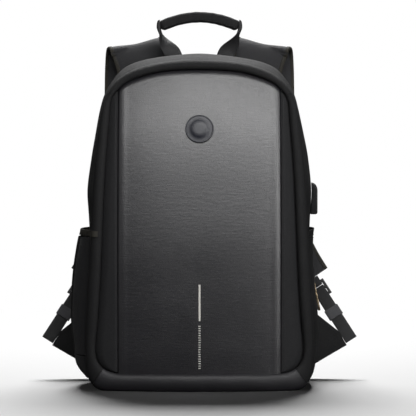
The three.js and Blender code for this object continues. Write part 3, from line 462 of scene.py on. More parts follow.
def tube(name, rings, material, **options):
    """A solid through a row of rings of points, closed at both ends."""
    rows, sides = rings.shape[:2]
    u = lengths(rings, 0)
    v = lengths(np.concatenate([rings, rings[:, :1]], axis=1), 1)
    points = np.concatenate([rings.reshape(-1, 3), rings[[0, -1]].mean(axis=1)])
    faces, uvs = [], []
    for i in range(rows - 1):
        for j in range(sides):
            k = (j + 1) % sides
            faces.append([i * sides + j, i * sides + k, (i + 1) * sides + k, (i + 1) * sides + j])
            uvs.extend([(u[i], v[j]), (u[i], v[j + 1]), (u[i + 1], v[j + 1]), (u[i + 1], v[j])])
    for row, middle, turn in ((0, rows * sides, 1), (rows - 1, rows * sides + 1, -1)):
        for j in range(sides):
            pair = [row * sides + j, row * sides + (j + 1) % sides][::turn]
            faces.append([middle, pair[1], pair[0]])
            uvs.extend([(u[row], v[j])] * 3)
    return new_piece(name, points, faces, uvs, material, **options)


def baked(piece):
    """Replaces a piece's mesh by its evaluated one, and removes its modifiers."""
    bpy.context.view_layer.update()
    graph = bpy.context.evaluated_depsgraph_get()
    mesh = bpy.data.meshes.new_from_object(piece.evaluated_get(graph))
    piece.modifiers.clear()
    piece.data = mesh
    return piece


def moulded_copy(node, name, voxel, material, rounds=4, body="bag"):
    """A moulded or cast piece with rounded edges, made from its plain solid."""
    mesh = frame["nodes"][node].data.copy()
    builder = bmesh.new()
    builder.from_mesh(mesh)
    bmesh.ops.remove_doubles(builder, verts=builder.verts, dist=1e-6)
    builder.to_mesh(mesh)
    builder.free()
    mesh.materials.clear()
    piece = bpy.data.objects.new(name, mesh)
    bpy.context.scene.collection.objects.link(piece)
    remesh = piece.modifiers.new("skin", "REMESH")
    remesh.mode = "VOXEL"
    remesh.voxel_size = voxel * MM
    relax = piece.modifiers.new("relax", "SMOOTH")
    relax.iterations = rounds
    baked(piece)
    finish_piece(piece, material, 80, body)
    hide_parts(node)
    return piece


# Materials

def node(tree, kind, inputs=None, **settings):
    """Adds a node with its settings, values and links."""
    made = tree.nodes.new(kind)
    for key, value in settings.items():
        setattr(made, key, value)
    for key, value in (inputs or {}).items():
        if isinstance(value, bpy.types.NodeSocket):
            tree.links.new(value, made.inputs[key])
        else:
            made.inputs[key].default_value = value
    return made


def start_material(name, base, roughness, **shader_values):
    """A material with its shader, set to a base colour, a roughness and other values."""
    made = bpy.data.materials.new(name)
    made.use_nodes = True
    tree = made.node_tree
    shader = tree.nodes["Principled BSDF"]
    shader.inputs["Base Color"].default_value = (*base, 1)
    shader.inputs["Roughness"].default_value = roughness
    for key, value in shader_values.items():
        shader.inputs[key.replace("_", " ").title().replace("Ior", "IOR")].default_value = value
    return made, tree, shader


def shade_range(tree, shader, base, factor, low, high):
    """Varies the base colour between two shares of itself by a factor."""
    mix = node(tree, "ShaderNodeMix", {"Factor": factor}, data_type="RGBA")
    mix.inputs["A"].default_value = (*[min(1, c * low) for c in base], 1)
    mix.inputs["B"].default_value = (*[min(1, c * high) for c in base], 1)
    tree.links.new(mix.outputs["Result"], shader.inputs["Base Color"])


def rough_range(tree, shader, factor, low, high):
    spread = node(tree, "ShaderNodeMapRange", {"Value": factor, "To Min": low, "To Max": high})
    tree.links.new(spread.outputs["Result"], shader.inputs["Roughness"])


def bump(tree, shader, height, depth, strength=1.0, after=None):
    """Adds relief of a real depth in millimetres."""
    made = node(tree, "ShaderNodeBump", {"Height": height, "Distance": depth * MM, "Strength": strength})
    if after:
        tree.links.new(after.outputs["Normal"], made.inputs["Normal"])
    tree.links.new(made.outputs["Normal"], shader.inputs["Normal"])
    return made


def maths(tree, operation, first, second=0.0):
    return node(tree, "ShaderNodeMath", {0: first, 1: second}, operation=operation).outputs[0]


def bag_point(tree):
    return node(tree, "ShaderNodeTexCoord").outputs["Object"]


def cloth_axes(tree):
    """The cloth's own coordinates in metres: along and across the piece."""
    uv = node(tree, "ShaderNodeUVMap", uv_map="cloth").outputs["UV"]
    parts = node(tree, "ShaderNodeSeparateXYZ", {"Vector": uv})
    return parts.outputs["X"], parts.outputs["Y"]


def ridges(tree, value, spacing):
    """Rounded ridges from 0 to 1 at a spacing in metres."""
    turned = maths(tree, "MULTIPLY", value, 2 * math.pi / spacing)
    wave = maths(tree, "SINE", turned)
    return maths(tree, "MULTIPLY_ADD", wave, 0.5)


def coated_cloth(name, base, grain, smoothest, roughest, shine):
    """Polyurethane-coated polyester: a fine pebble grain over drawn streaks, and a soft broad shine."""
    made, tree, shader = start_material(name, base, roughest, specular_ior_level=shine)
    point = bag_point(tree)
    pebbles = node(tree, "ShaderNodeTexVoronoi", {"Vector": point, "Scale": 1 / grain, "Randomness": 1.0},
                   feature="DISTANCE_TO_EDGE")
    edge = node(tree, "ShaderNodeMapRange", {"Value": pebbles.outputs["Distance"], "From Max": 0.25})
    fine = node(tree, "ShaderNodeTexNoise", {"Vector": point, "Scale": 2 / grain, "Detail": 4.0})
    broad = node(tree, "ShaderNodeTexNoise", {"Vector": point, "Scale": 14.0, "Detail": 3.0})
    mottle = node(tree, "ShaderNodeTexNoise", {"Vector": point, "Scale": 160.0, "Detail": 3.0})
    rough_range(tree, shader, maths(tree, "ADD", broad.outputs["Fac"], maths(
        tree, "MULTIPLY", mottle.outputs["Fac"], 0.35)), smoothest, roughest)
    shade_range(tree, shader, base, mottle.outputs["Fac"], 0.86, 1.16)
    drawn = node(tree, "ShaderNodeMapping", {"Vector": point, "Scale": (1.0, 1.0, 7.0)})
    streaks = node(tree, "ShaderNodeTexNoise", {"Vector": drawn.outputs["Vector"],
                                                "Scale": 75.0, "Detail": 4.0,
                                                "Roughness": 0.6})
    under = bump(tree, shader, streaks.outputs["Fac"], 0.5, 0.4)
    wide = bump(tree, shader, edge.outputs["Result"], 0.12, 0.5, under)
    bump(tree, shader, fine.outputs["Fac"], 0.08, 0.5, wide)
    return made


def twill_cloth(base, spacing):
    """Polyester twill: diagonal ribs, drawn a little coarser than the real threads so that they show."""
    made, tree, shader = start_material("polyester twill", base, 0.72, specular_ior_level=0.35,
                                        sheen_weight=0.04, sheen_roughness=0.5)
    along, across = cloth_axes(tree)
    diagonal = ridges(tree, maths(tree, "ADD", along, across), spacing)
    thread = ridges(tree, maths(tree, "SUBTRACT", along, across), spacing * 0.5)
    height = maths(tree, "MULTIPLY_ADD", thread, 0.3)
    tree.links.new(diagonal, height.node.inputs[2])
    fuzz = node(tree, "ShaderNodeTexNoise", {"Vector": bag_point(tree), "Scale": 420.0, "Detail": 3.0})
    shade_range(tree, shader, base, maths(tree, "MULTIPLY", height, 0.8), 0.7, 1.35)
    rough_range(tree, shader, fuzz.outputs["Fac"], 0.6, 0.86)
    under = bump(tree, shader, fuzz.outputs["Fac"], 0.15, 0.4)
    bump(tree, shader, height, 0.22, 0.8, under)
    return made


def plain_cloth(name, base, spacing, low=0.62, high=0.9, sheen=0.0):
    """Plain-woven polyester: a square weave with slubs, matte, with a fine fuzz that varies its roughness;
    sheen at grazing angles only when a sheen is given.
    """
    made, tree, shader = start_material(name, base, 0.78, specular_ior_level=0.3,
                                        sheen_weight=sheen, sheen_roughness=0.55)
    along, across = cloth_axes(tree)
    weave = maths(tree, "MULTIPLY", ridges(tree, along, spacing), ridges(tree, across, spacing))
    slubs = node(tree, "ShaderNodeTexNoise", {"Vector": bag_point(tree), "Scale": 60.0, "Detail": 5.0})
    fuzz = node(tree, "ShaderNodeTexNoise", {"Vector": bag_point(tree), "Scale": 500.0, "Detail": 2.0})
    shade_range(tree, shader, base, maths(tree, "MULTIPLY_ADD", weave, 0.5), 0.72, 1.3)
    rough_range(tree, shader, fuzz.outputs["Fac"], low, high)
    under = bump(tree, shader, slubs.outputs["Fac"], 0.5, 0.3)
    bump(tree, shader, weave, 0.2, 0.8, under)
    return made


def knitted_mesh(base, spacing):
    """Knitted spacer mesh: rows of small open holes between rounded ribs."""
    made, tree, shader = start_material("knitted spacer mesh", base, 0.85, specular_ior_level=0.25,
                                        sheen_weight=0.03)
    along, across = cloth_axes(tree)
    row = maths(tree, "FLOOR", maths(tree, "DIVIDE", across, spacing * 0.5))
    shift = maths(tree, "MULTIPLY", maths(tree, "MODULO", row, 2.0), spacing * 0.5)
    first = ridges(tree, maths(tree, "ADD", along, shift), spacing)
    second = ridges(tree, across, spacing * 0.5)
    hole = node(tree, "ShaderNodeMapRange", {"Value": maths(tree, "MULTIPLY", first, second),
                                             "From Min": 0.35, "From Max": 0.6, "To Min": 1.0, "To Max": 0.0})
    shade_range(tree, shader, base, hole.outputs["Result"], 0.3, 1.5)
    bump(tree, shader, hole.outputs["Result"], 0.7, 0.9)
    return made


def ribbed_webbing(base, spacing):
    """Woven polyester webbing: flat ribs across its width with a slight shine."""
    made, tree, shader = start_material("polyester webbing", base, 0.58, specular_ior_level=0.45,
                                        sheen_weight=0.03)
    along, across = cloth_axes(tree)
    rib = ridges(tree, along, spacing)
    grid = maths(tree, "MULTIPLY", rib, maths(tree, "MULTIPLY_ADD", ridges(tree, across, spacing * 1.4), 0.4))
    fuzz = node(tree, "ShaderNodeTexNoise", {"Vector": bag_point(tree), "Scale": 350.0, "Detail": 3.0})
    shade_range(tree, shader, base, rib, 0.7, 1.45)
    rough_range(tree, shader, fuzz.outputs["Fac"], 0.48, 0.72)
    bump(tree, shader, grid, 0.3, 0.9)
    return made


def moulding(name, base, roughness, grain_depth, spec=0.5):
    """A moulded plastic or rubber part: fine spark-eroded grain and slightly uneven gloss."""
    made, tree, shader = start_material(name, base, roughness, specular_ior_level=spec)
    fine = node(tree, "ShaderNodeTexNoise", {"Vector": bag_point(tree), "Scale": 1400.0, "Detail": 3.0})
    broad = node(tree, "ShaderNodeTexNoise", {"Vector": bag_point(tree), "Scale": 90.0, "Detail": 3.0})
    rough_range(tree, shader, broad.outputs["Fac"], roughness * 0.8, roughness * 1.25)
    shade_range(tree, shader, base, fine.outputs["Fac"], 0.85, 1.15)
    bump(tree, shader, fine.outputs["Fac"], grain_depth, 0.6)
    return made


def plated_zinc(base):
    """Die-cast zinc with pale gold plating: soft reflections and faint rubbed streaks."""
    made, tree, shader = start_material("plated zinc", base, 0.28, metallic=1.0)
    point = bag_point(tree)
    streaked = node(tree, "ShaderNodeMapping", {"Vector": point, "Scale": (1.0, 1.0, 0.12)})
    streaks = node(tree, "ShaderNodeTexNoise", {
        "Vector": streaked.outputs["Vector"], "Scale": 2400.0, "Detail": 3.0})
    wear = node(tree, "ShaderNodeTexNoise", {"Vector": point, "Scale": 260.0, "Detail": 4.0})
    rough_range(tree, shader, wear.outputs["Fac"], 0.2, 0.42)
    shade_range(tree, shader, base, wear.outputs["Fac"], 0.8, 1.12)
    bump(tree, shader, streaks.outputs["Fac"], 0.02, 0.5)
    return made


def reflective_tape(base):
    """Glass-bead reflective tape: pale, with a fine bead grain."""
    made, tree, shader = start_material("glass-bead tape", base, 0.45)
    beads = node(tree, "ShaderNodeTexVoronoi", {"Vector": bag_point(tree), "Scale": 2500.0})
    shade_range(tree, shader, base, beads.outputs["Distance"], 1.0, 0.86)
    bump(tree, shader, beads.outputs["Distance"], 0.05, 0.4)
    return made


MATERIALS = {}


def make_materials(sizes, colours):
    """One material for each real finish."""
    MATERIALS.update(
        leatherette=coated_cloth("embossed polyurethane cloth", colours.leatherette, sizes.grain,
                                 0.28, 0.42, 1.0),
        hem_leather=coated_cloth("matte polyurethane cloth", colours.leatherette, sizes.grain,
                                 0.5, 0.66, 0.6),
        twill=twill_cloth(colours.twill, sizes.twill),
        cloth=plain_cloth("plain-woven polyester", colours.cloth, sizes.weave),
        binding=plain_cloth("woven binding tape", colours.binding, sizes.weave * 0.8),
        strap_twill=twill_cloth(colours.strap, sizes.twill),
        elastic=ribbed_webbing(colours.elastic, sizes.rib * 0.7),
        mesh=knitted_mesh(colours.mesh, sizes.mesh_hole),
        webbing=ribbed_webbing(colours.webbing, sizes.rib),
        thread=moulding("bonded nylon thread", colours.thread, 0.5, 0.02),
        coil=moulding("polyester zip coil", colours.coil, 0.42, 0.01),
        acetal=moulding("moulded acetal", colours.acetal, 0.4, 0.03),
        rubber=moulding("moulded silicone rubber", colours.rubber, 0.34, 0.01),
        badge=moulding("moulded badge rubber", colours.badge, 0.42, 0.02),
        metal=plated_zinc(colours.metal),
        tape=reflective_tape(colours.pale),
    )


# Geometry Nodes: one shape repeated along paths

def group_input(tree, name, kind, default=None):
    socket = tree.interface.new_socket(name=name, in_out="INPUT", socket_type=kind)
    if default is not None:
        socket.default_value = default
    return socket


def repeat_tree(name, shape):
    """A tree that sets a thread, tooth or tick along every polyline, its X axis along the line."""
    tree = bpy.data.node_groups.new(name, "GeometryNodeTree")
    group_input(tree, "Paths", "NodeSocketGeometry")
    group_input(tree, "Pitch", "NodeSocketFloat", 0.004)
    group_input(tree, "Length", "NodeSocketFloat", 0.003)
    group_input(tree, "Width", "NodeSocketFloat", 0.001)
    group_input(tree, "Thickness", "NodeSocketFloat", 0.001)
    group_input(tree, "Material", "NodeSocketMaterial")
    tree.interface.new_socket(name="Pieces", in_out="OUTPUT", socket_type="NodeSocketGeometry")
    source = tree.nodes.new("NodeGroupInput").outputs
    curve = node(tree, "GeometryNodeMeshToCurve", {"Mesh": source["Paths"]})
    spaced = node(tree, "GeometryNodeResampleCurve", {
        "Curve": curve.outputs["Curve"], "Length": source["Pitch"]}, mode="LENGTH")
    scale = node(tree, "ShaderNodeCombineXYZ", {
        "X": source["Length"], "Y": source["Width"], "Z": source["Thickness"]})
    if shape == "bead":
        bead = node(tree, "GeometryNodeMeshUVSphere", {"Segments": 5, "Rings": 3, "Radius": 0.5})
        form = bead.outputs["Mesh"]
    elif shape == "bar":
        rod = node(tree, "GeometryNodeMeshCylinder", {"Vertices": 8, "Radius": 0.5, "Depth": 1.0})
        form = node(tree, "GeometryNodeTransform", {
            "Geometry": rod.outputs["Mesh"], "Rotation": (math.pi / 2, 0, 0)}).outputs["Geometry"]
    else:
        form = node(tree, "GeometryNodeMeshCube", {"Size": (1, 1, 1)}).outputs["Mesh"]
    sized = node(tree, "GeometryNodeTransform", {"Geometry": form, "Scale": scale.outputs["Vector"]})
    out = node(tree, "GeometryNodeInputNamedAttribute", {"Name": "out"}, data_type="FLOAT_VECTOR")
    tangent = node(tree, "GeometryNodeInputTangent")
    first = node(tree, "FunctionNodeAlignRotationToVector", {"Vector": tangent.outputs["Tangent"]}, axis="X")
    second = node(tree, "FunctionNodeAlignRotationToVector", {
        "Rotation": first.outputs["Rotation"], "Vector": out.outputs["Attribute"]}, axis="Z", pivot_axis="X")
    placed = node(tree, "GeometryNodeInstanceOnPoints", {
        "Points": spaced.outputs["Curve"], "Instance": sized.outputs["Geometry"],
        "Rotation": second.outputs["Rotation"]})
    real = node(tree, "GeometryNodeRealizeInstances", {"Geometry": placed.outputs["Instances"]})
    painted = node(tree, "GeometryNodeSetMaterial", {
        "Geometry": real.outputs["Geometry"], "Material": source["Material"]})
    result = tree.nodes.new("NodeGroupOutput")
    tree.links.new(painted.outputs["Geometry"], result.inputs["Pieces"])
    return tree


def repeated(name, paths, shape, material, pitch, length, width, thickness, body="bag"):
    """One shape along each path; a path is its points and the direction out of the cloth at each."""
    points = np.concatenate([p for p, _ in paths]) * MM
    outs = np.concatenate([np.broadcast_to(o, p.shape) for p, o in paths])
    edges, start = [], 0
    for path, _ in paths:
        edges += [(start + i, start + i + 1) for i in range(len(path) - 1)]
        start += len(path)
    mesh = bpy.data.meshes.new(name)
    mesh.from_pydata(points.tolist(), edges, [])
    attribute = mesh.attributes.new("out", "FLOAT_VECTOR", "POINT")
    attribute.data.foreach_set("vector", outs.astype(np.float32).ravel())
    piece = bpy.data.objects.new(name, mesh)
    bpy.context.scene.collection.objects.link(piece)
    tree = repeat_tree(name + " layout", shape)
    modifier = piece.modifiers.new("layout", "NODES")
    modifier.node_group = tree
    values = {"Pitch": pitch, "Length": length, "Width": width, "Thickness": thickness, "Material": material}
    for item in tree.interface.items_tree:
        if item.item_type == "SOCKET" and item.name in values:
            modifier[item.identifier] = values[item.name]
    baked(piece)
    piece.data.shade_smooth()
    piece.data.set_sharp_from_angle(angle=math.radians(40))
    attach(piece, body)
    return piece


SEAMS = []


def seam(points, outs):
    """Keeps a row of stitches for the thread piece, which is made last."""
    points = np.asarray(points, float)
    SEAMS.append((points, np.broadcast_to(np.asarray(outs, float), points.shape)))


def body_seam(place, depth, lift):
    """A row of stitches on the body's side, top or bottom surface."""
    place, depth = np.broadcast_arrays(np.asarray(place, float), np.asarray(depth, float))
    seam(body_skin(place, depth, lift), body_normal(place, depth))


# Front

FRONT = np.array((0, -1, 0))


def make_front_panel():
    """Foam-backed front panel, topstitched along both long edges."""
    columns, rows = 121, 141
    xs = np.linspace(-PANEL_HALF + GAP, PANEL_HALF - GAP, columns)
    lows = np.full(columns, PANEL_BOTTOM + PANEL_EDGE_GAP)
    highs = np.array([groove_height(x) for x in xs]) - PANEL_EDGE_GAP
    shares = 1 - (1 - np.linspace(0, 1, rows)) ** 1.35
    x = np.repeat(xs[:, None], rows, 1)
    z = lows[:, None] + (highs - lows)[:, None] * shares[None]
    away = highs[:, None] + PANEL_EDGE_GAP - z
    side = PANEL_HALF - np.abs(x)
    pinch = -1.1 * np.exp(-(side / 2.4) ** 2) + 0.35 * np.exp(-((side - 8) / 4) ** 2)
    lift = pinch + 0.22 * waves(x, z, 150, 3)
    outer = face_point(x, z, 0)
    outer[..., 1] += groove_sink(away) - lift
    inner = outer.copy()
    inner[..., 1] += CLOTH
    piece = wall("front_panel_cover", outer, inner, MATERIALS["leatherette"], sharp=70)
    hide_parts("front_panel")
    for side_sign in (-1, 1):
        for inset in (3.2, 6.4):
            zs = np.linspace(PANEL_BOTTOM + 3, groove_height(PANEL_HALF - inset) - 4, 220)
            path = face_point(np.full(220, side_sign * (PANEL_HALF - inset)), zs, 0.05)
            path[:, 1] += groove_sink(groove_height(PANEL_HALF - inset) - zs)
            seam(path - [0, 0.1, 0], FRONT)


def make_side_strip(sign, word):
    """Twill strip between the panel and the side roll."""
    places = np.linspace(MITRE_PLACE - 1.1, ROLL_MEET_PLACE + 1, 150)
    edge = groove_loop(places)
    outer_x = edge[:, 0] - STRIP_EDGE_GAP
    height = edge[:, 1] + np.where(places < MITRE_PLACE + 1, STRIP_EDGE_GAP, 0) - np.where(
        places > ROLL_MEET_PLACE, STRIP_EDGE_GAP, 0)
    inner_x = PANEL_HALF + GAP
    shares = np.linspace(0, 1, 19)
    x = inner_x + (np.maximum(outer_x, inner_x + 1) - inner_x)[:, None] * shares
    z = np.repeat(height[:, None], 19, 1)
    outer = face_point(x, z, 0)
    outer[..., 1] += groove_sink(GROOVE_BAND * (outer_x[:, None] - x) / STRIP_BAND)
    outer[..., 1] += 1.1 * np.exp(-((x - inner_x) / 2.2) ** 2) - 0.25 * waves(x * 2, z, 90, 5)
    outer[..., 0] *= sign
    inner = outer + [0, CLOTH, 0]
    piece = wall(f"side_strip_cloth_{word}", outer, inner, MATERIALS["twill"], sharp=70)
    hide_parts(f"side_strip_{word}")
    wide = (outer_x - inner_x) > STRIP_SEAM + 2.5
    heights = height[wide]
    path = face_point(np.full(len(heights), inner_x + STRIP_SEAM), heights, 0.05)
    path[:, 1] += groove_sink(GROOVE_BAND * (outer_x[wide] - inner_x - STRIP_SEAM) / STRIP_BAND)
    path[:, 0] *= sign
    seam(path, FRONT)


def roll_frame(places):
    """The roll's groove and middle lines, the ways across and out of it, and its half width."""
    groove = groove_loop(places)
    groove = np.stack([groove[:, 0], face_depth(groove[:, 0], groove[:, 1]), groove[:, 1]], -1)
    joint = seam_loop(places)
    joint = np.stack([joint[:, 0], seam_depth(places), joint[:, 1]], -1)
    across = joint - groove
    width = np.linalg.norm(across, axis=1)
    across /= width[:, None]
    half = np.maximum(width / 2 - ROLL_SEAM, ROLL_LEAST)
    out = FRONT + across * across[:, 1:2]
    out /= np.linalg.norm(out, axis=1)[:, None]
    return groove, (groove + joint) / 2, across, out, half


def make_roll(name, node_name, ends, front, rear, material, seed):
    """Padded roll sewn between the groove and the side wall."""
    places = np.linspace(*ends, 260)
    groove, middle, across, out, half = roll_frame(places)
    swell = np.minimum(1, half / ROLL_FULL)
    turns = np.linspace(0, 2 * math.pi, 33)[:-1]
    along = np.concatenate([[0], np.cumsum(np.linalg.norm(np.diff(groove, axis=0), axis=1))])
    puff = 1 + 0.05 * waves(along, along * 0, 46, seed)
    sine = np.sin(turns)
    reach = np.where(sine > 0, front, rear)[None] * swell[:, None] * puff[:, None]
    flat = np.sign(sine) * np.abs(sine) ** 0.9
    rings = middle[:, None] + across[:, None] * ((half + ROLL_LAP)[:, None] * np.cos(turns))[..., None]
    rings = rings + out[:, None] * (reach * flat)[..., None]
    rings[..., 2] = np.maximum(rings[..., 2], 0)
    piece = tube(name, rings, material, sharp=80)
    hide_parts(node_name)
    for turn in (0.30, 0.70):
        angle = math.pi * turn
        path = middle + across * (half * math.cos(angle))[:, None]
        lift = front * swell * puff * math.sin(angle) ** 0.9
        normal = out * math.sin(angle) + across * math.cos(angle) * 0.5
        if turn > 0.5:
            seam(path + out * (lift + 0.1)[:, None], normal / np.linalg.norm(normal, axis=1)[:, None])


def make_badge():
    """Round moulded badge of one colour, with a raised rim and a plain domed middle."""
    slope = (face_depth(0.0, BADGE_HEIGHT + 15) - face_depth(0.0, BADGE_HEIGHT - 15)) / 30
    tilt = math.atan(slope)
    seat = face_point(0.0, BADGE_HEIGHT, 2 * GAP)
    across, up = np.array((1, 0, 0)), np.array((0, math.sin(tilt), math.cos(tilt)))
    out = np.cross(across, up)

    def on_badge(radius, turn, lift):
        radius, turn, lift = np.broadcast_arrays(radius, turn, lift)
        flat = (radius * np.cos(turn))[..., None] * across + (radius * np.sin(turn))[..., None] * up
        return seat + flat + lift[..., None] * out

    def lathe(name, profile, material, turns=96):
        angles = np.linspace(0, 2 * math.pi, turns, endpoint=False)
        rings = np.stack([on_badge(r, angles, h) for r, h in profile])
        return tube(name, rings, material, sharp=35)

    radius = BADGE_RADIUS
    disc = lathe("badge_disc", (
        (0.05, 0), (radius - 0.4, 0), (radius, 0.4), (radius, 1.3), (radius - 0.5, 1.8), (radius - 1.3, 1.8),
        (radius - 1.9, 1.1), (radius * 0.62, 1.1), (radius * 0.6, 1.35), (radius * 0.3, 1.6), (0.05, 1.7),
    ), MATERIALS["badge"])
    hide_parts("badge")


def make_markings(sizes):
    """Reflective line on the panel's middle, and an even row of plain ticks below it."""
    zs = np.linspace(LINE_LOW, LINE_HIGH, 40)
    xs = np.linspace(-1.25, 1.25, 5)
    x, z = np.repeat(xs[None], 40, 0), np.repeat(zs[:, None], 5, 1)
    lift = 0.25 + 0.4 * (1 - (x / 1.3) ** 4)
    line = wall("reflective_strip", face_point(x, z, lift), face_point(x, z, -0.05), MATERIALS["tape"])
    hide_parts("reflective_line")
    path = face_point(np.zeros(60), np.linspace(TICKS_LOW, TICKS_HIGH, 60), 0.3)
    ticks = repeated("panel_ticks", [(path, FRONT)], "block", MATERIALS["tape"], sizes.tick_pitch,
                     TICK_LENGTH * MM, TICK_WIDTH * MM, TICK_THICKNESS * MM)


# Body walls

def pocket_mask(points):
    """0 where a side pocket lies on the wall, rising to 1 away from it."""
    above = np.clip((points[..., 2] - HEIGHT * POCKET_TOP - 4) / 25, 0, 1)
    behind = np.clip((points[..., 1] - POCKET_REAR - 1) / 3, 0, 1)
    return np.maximum(above, behind)


def make_body_wall(name, node_name, places, front, rear, columns, amount, seed, material):
    """A sewn wall of the body, with soft dents inwards and turned edges."""
    place = np.repeat(places[:, None], columns, 1)
    shares = np.linspace(0, 1, columns)
    low = front(places)
    depth = low[:, None] + (rear - low)[:, None] * shares
    base = body_point(place, depth)
    dents = 0.5 + 0.5 * waves(base[..., 2] + base[..., 0] * 0.6, depth * 1.6, 95, seed)
    edge = np.minimum(depth - low[:, None], rear - depth)
    turned = 0.9 * np.exp(-(edge / 1.1) ** 2)
    lift = -amount * np.clip(dents, 0, 1.2) * pocket_mask(base) * np.clip(edge / 12, 0, 1) - turned
    outer = body_skin(place, depth, lift)
    inner = body_skin(place, depth, lift * 0.6 - CLOTH)
    piece = wall(name, outer, inner, material, sharp=70)
    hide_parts(node_name)
    return piece


def make_body():
    """Base, side walls and the narrow walls between and behind the zips, with their topstitching."""
    def side_front(places):
        return seam_depth(places) + SEAM_GAP

    round_body = np.linspace(BASE_PLACE + 0.04, 2 * TOP_PLACE - BASE_PLACE - 0.04, 420)
    under = np.linspace(-BASE_PLACE, BASE_PLACE, 90)
    make_body_wall("base_tray", "base", under, side_front, BACK_DEPTH, 40, 0.0, 11,
                   MATERIALS["hem_leather"])
    make_body_wall("side_wall", "gusset", round_body, side_front, MAIN_ZIP_DEPTH, 40, 1.9, 12,
                   MATERIALS["cloth"])
    narrow = (
        ("middle_wall", "middle_gusset", MAIN_ZIP_DEPTH + ZIP_WIDTH, LAPTOP_ZIP_DEPTH, 13),
        ("rear_wall", "rear_gusset", LAPTOP_ZIP_DEPTH + ZIP_WIDTH, BACK_DEPTH, 14),
    )
    for name, node_name, front, rear, seed in narrow:
        make_body_wall(name, node_name, round_body, lambda p, f=front: np.full(p.shape, float(f)), rear, 14,
                       0.2, seed, MATERIALS["cloth"])
    clear = np.linspace(BASE_PLACE + 0.2, 2 * TOP_PLACE - BASE_PLACE - 0.2, 900)
    for depth in (MAIN_ZIP_DEPTH - 1.6, MAIN_ZIP_DEPTH + ZIP_WIDTH + 1.6, LAPTOP_ZIP_DEPTH - 1.6,
                  LAPTOP_ZIP_DEPTH + ZIP_WIDTH + 1.6):
        body_seam(clear, depth, 0.0)
    top = np.linspace(10.6, 2 * TOP_PLACE - 10.6, 700)
    body_seam(top, seam_depth(top) + SEAM_GAP + 3.0, 0.05)


def make_zip(word, front, sizes):
    """Coil zip: two woven tapes and the coil's turns lying across them."""
    places = np.linspace(BASE_PLACE + 0.05, 2 * TOP_PLACE - BASE_PLACE - 0.05, 520)
    section = ((0.35, -2.0), (0.35, -0.6), (1.2, 0.2), (3.0, 0.35), (4.3, 0.3), (4.5, 0.0), (4.7, 0.3),
               (6.0, 0.35),
               (7.8, 0.2), (8.65, -0.6), (8.65, -2.0))
    place = np.repeat(places[:, None], len(section), 1)
    depth = front + np.repeat(np.array([s[0] for s in section])[None], len(places), 0)
    lift = np.repeat(np.array([s[1] for s in section])[None], len(places), 0)
    tape = tube(f"{word}_zip_tape", body_skin(place, depth, lift), MATERIALS["webbing"], sharp=60)
    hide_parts(f"{word}_zip")
    dense = np.linspace(BASE_PLACE + 0.1, 2 * TOP_PLACE - BASE_PLACE - 0.1, 1600)
    middle = np.full(dense.shape, front + ZIP_WIDTH / 2)
    path = body_skin(dense, middle, 0.75)
    coil = repeated(f"{word}_zip_coil", [(path, body_normal(dense, middle))], "bar", MATERIALS["coil"],
                    sizes.tooth_pitch, sizes.tooth, 5.0 * MM, sizes.tooth)


def make_back():
    """Padded back panel of spacer mesh: two long pads and a lower pad, with air channels between them."""
    middle = np.array((0, 0, HEIGHT * 0.48))
    places = np.linspace(0, 2 * TOP_PLACE, 220, endpoint=False)
    edge = body_point(places, BACK_DEPTH)
    edge[:, 2] = np.maximum(edge[:, 2], 2)
    shares = np.concatenate([np.linspace(0.02, 0.9, 70), np.linspace(0.91, 1, 16)])
    flat = middle[None, None] + (edge - middle)[None] * shares[:, None, None]
    x, z = flat[..., 0], flat[..., 2]
    reach = np.linalg.norm((edge - middle)[:, (0, 2)], axis=1)
    rim = (1 - shares[:, None]) * reach[None]
    profile = BACK_PAD * (1 - np.exp(-(rim / 6.5) ** 1.4))

    def channel(distance, width):
        return np.exp(-(distance / width) ** 4)

    grooves = channel(x, 15)
    for height in (120, 235, 345):
        grooves = np.maximum(grooves, channel(z - height - 0.05 * np.abs(x), 8) * (np.abs(x) < 118))
    border = channel(rim - 20, 3.2)
    inside = np.clip((rim - 14) / 10, 0, 1)
    lift = profile * (1 - 0.55 * np.maximum(grooves * inside, border)) + 1.4 * inside * (1 - grooves)
    top = flat.copy()
    top[..., 1] = BACK_DEPTH + GAP + np.maximum(lift, 0.4) + 0.25 * waves(x, z, 60, 21) * inside
    bottom = flat[::-1].copy()
    bottom[..., 1] = BACK_DEPTH + GAP
    piece = tube("back_pads", np.concatenate([bottom[:-1], top[::-1]])[::-1],
                 MATERIALS["mesh"], sharp=80)
    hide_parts("back_panel")
    rows = body_point(np.linspace(0, 2 * TOP_PLACE, 400), BACK_DEPTH)
    rows = middle + (rows - middle) * 0.965
    rows[:, 1] = BACK_DEPTH + GAP + BACK_PAD * 0.84
    rows[:, 2] = np.maximum(rows[:, 2], 6)
    seam(rows, (0, 1, 0))


# Pockets

def pocket_lift(place, depth, swell, bulge):
    height = body_point(place, depth)[..., 2] / HEIGHT
    across = np.clip((depth - POCKET_FRONT) / (POCKET_REAR - POCKET_FRONT), 0, 1)
    crown = 1 - np.abs(2 * across - 1) ** 2.6
    return POCKET_SEAM + bulge * smooth(swell, 1, height) * crown, crown


def make_pocket_cloth(name, node_name, sign, swell, bulge, places, depths, rows, columns, thickness, material,
                      slot, ripple=None):
    """A pocket's cloth, standing off the wall behind it; ripple adds gathers or folds."""
    place = np.repeat(np.linspace(*places, rows)[:, None], columns, 1)
    depth = np.repeat(np.linspace(*depths, columns)[None], rows, 0)
    turned = place if sign > 0 else 2 * TOP_PLACE - place
    lift, crown = pocket_lift(turned, depth, swell, bulge)
    height = body_point(turned, depth)[..., 2]
    extra = 0 if ripple is None else ripple(depth, height, crown)
    outer = body_skin(turned, depth, lift + thickness + extra)
    inner = body_skin(turned, depth, lift + extra)
    piece = wall(name, outer, inner, material, sharp=70)
    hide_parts(node_name)
    return piece, outer


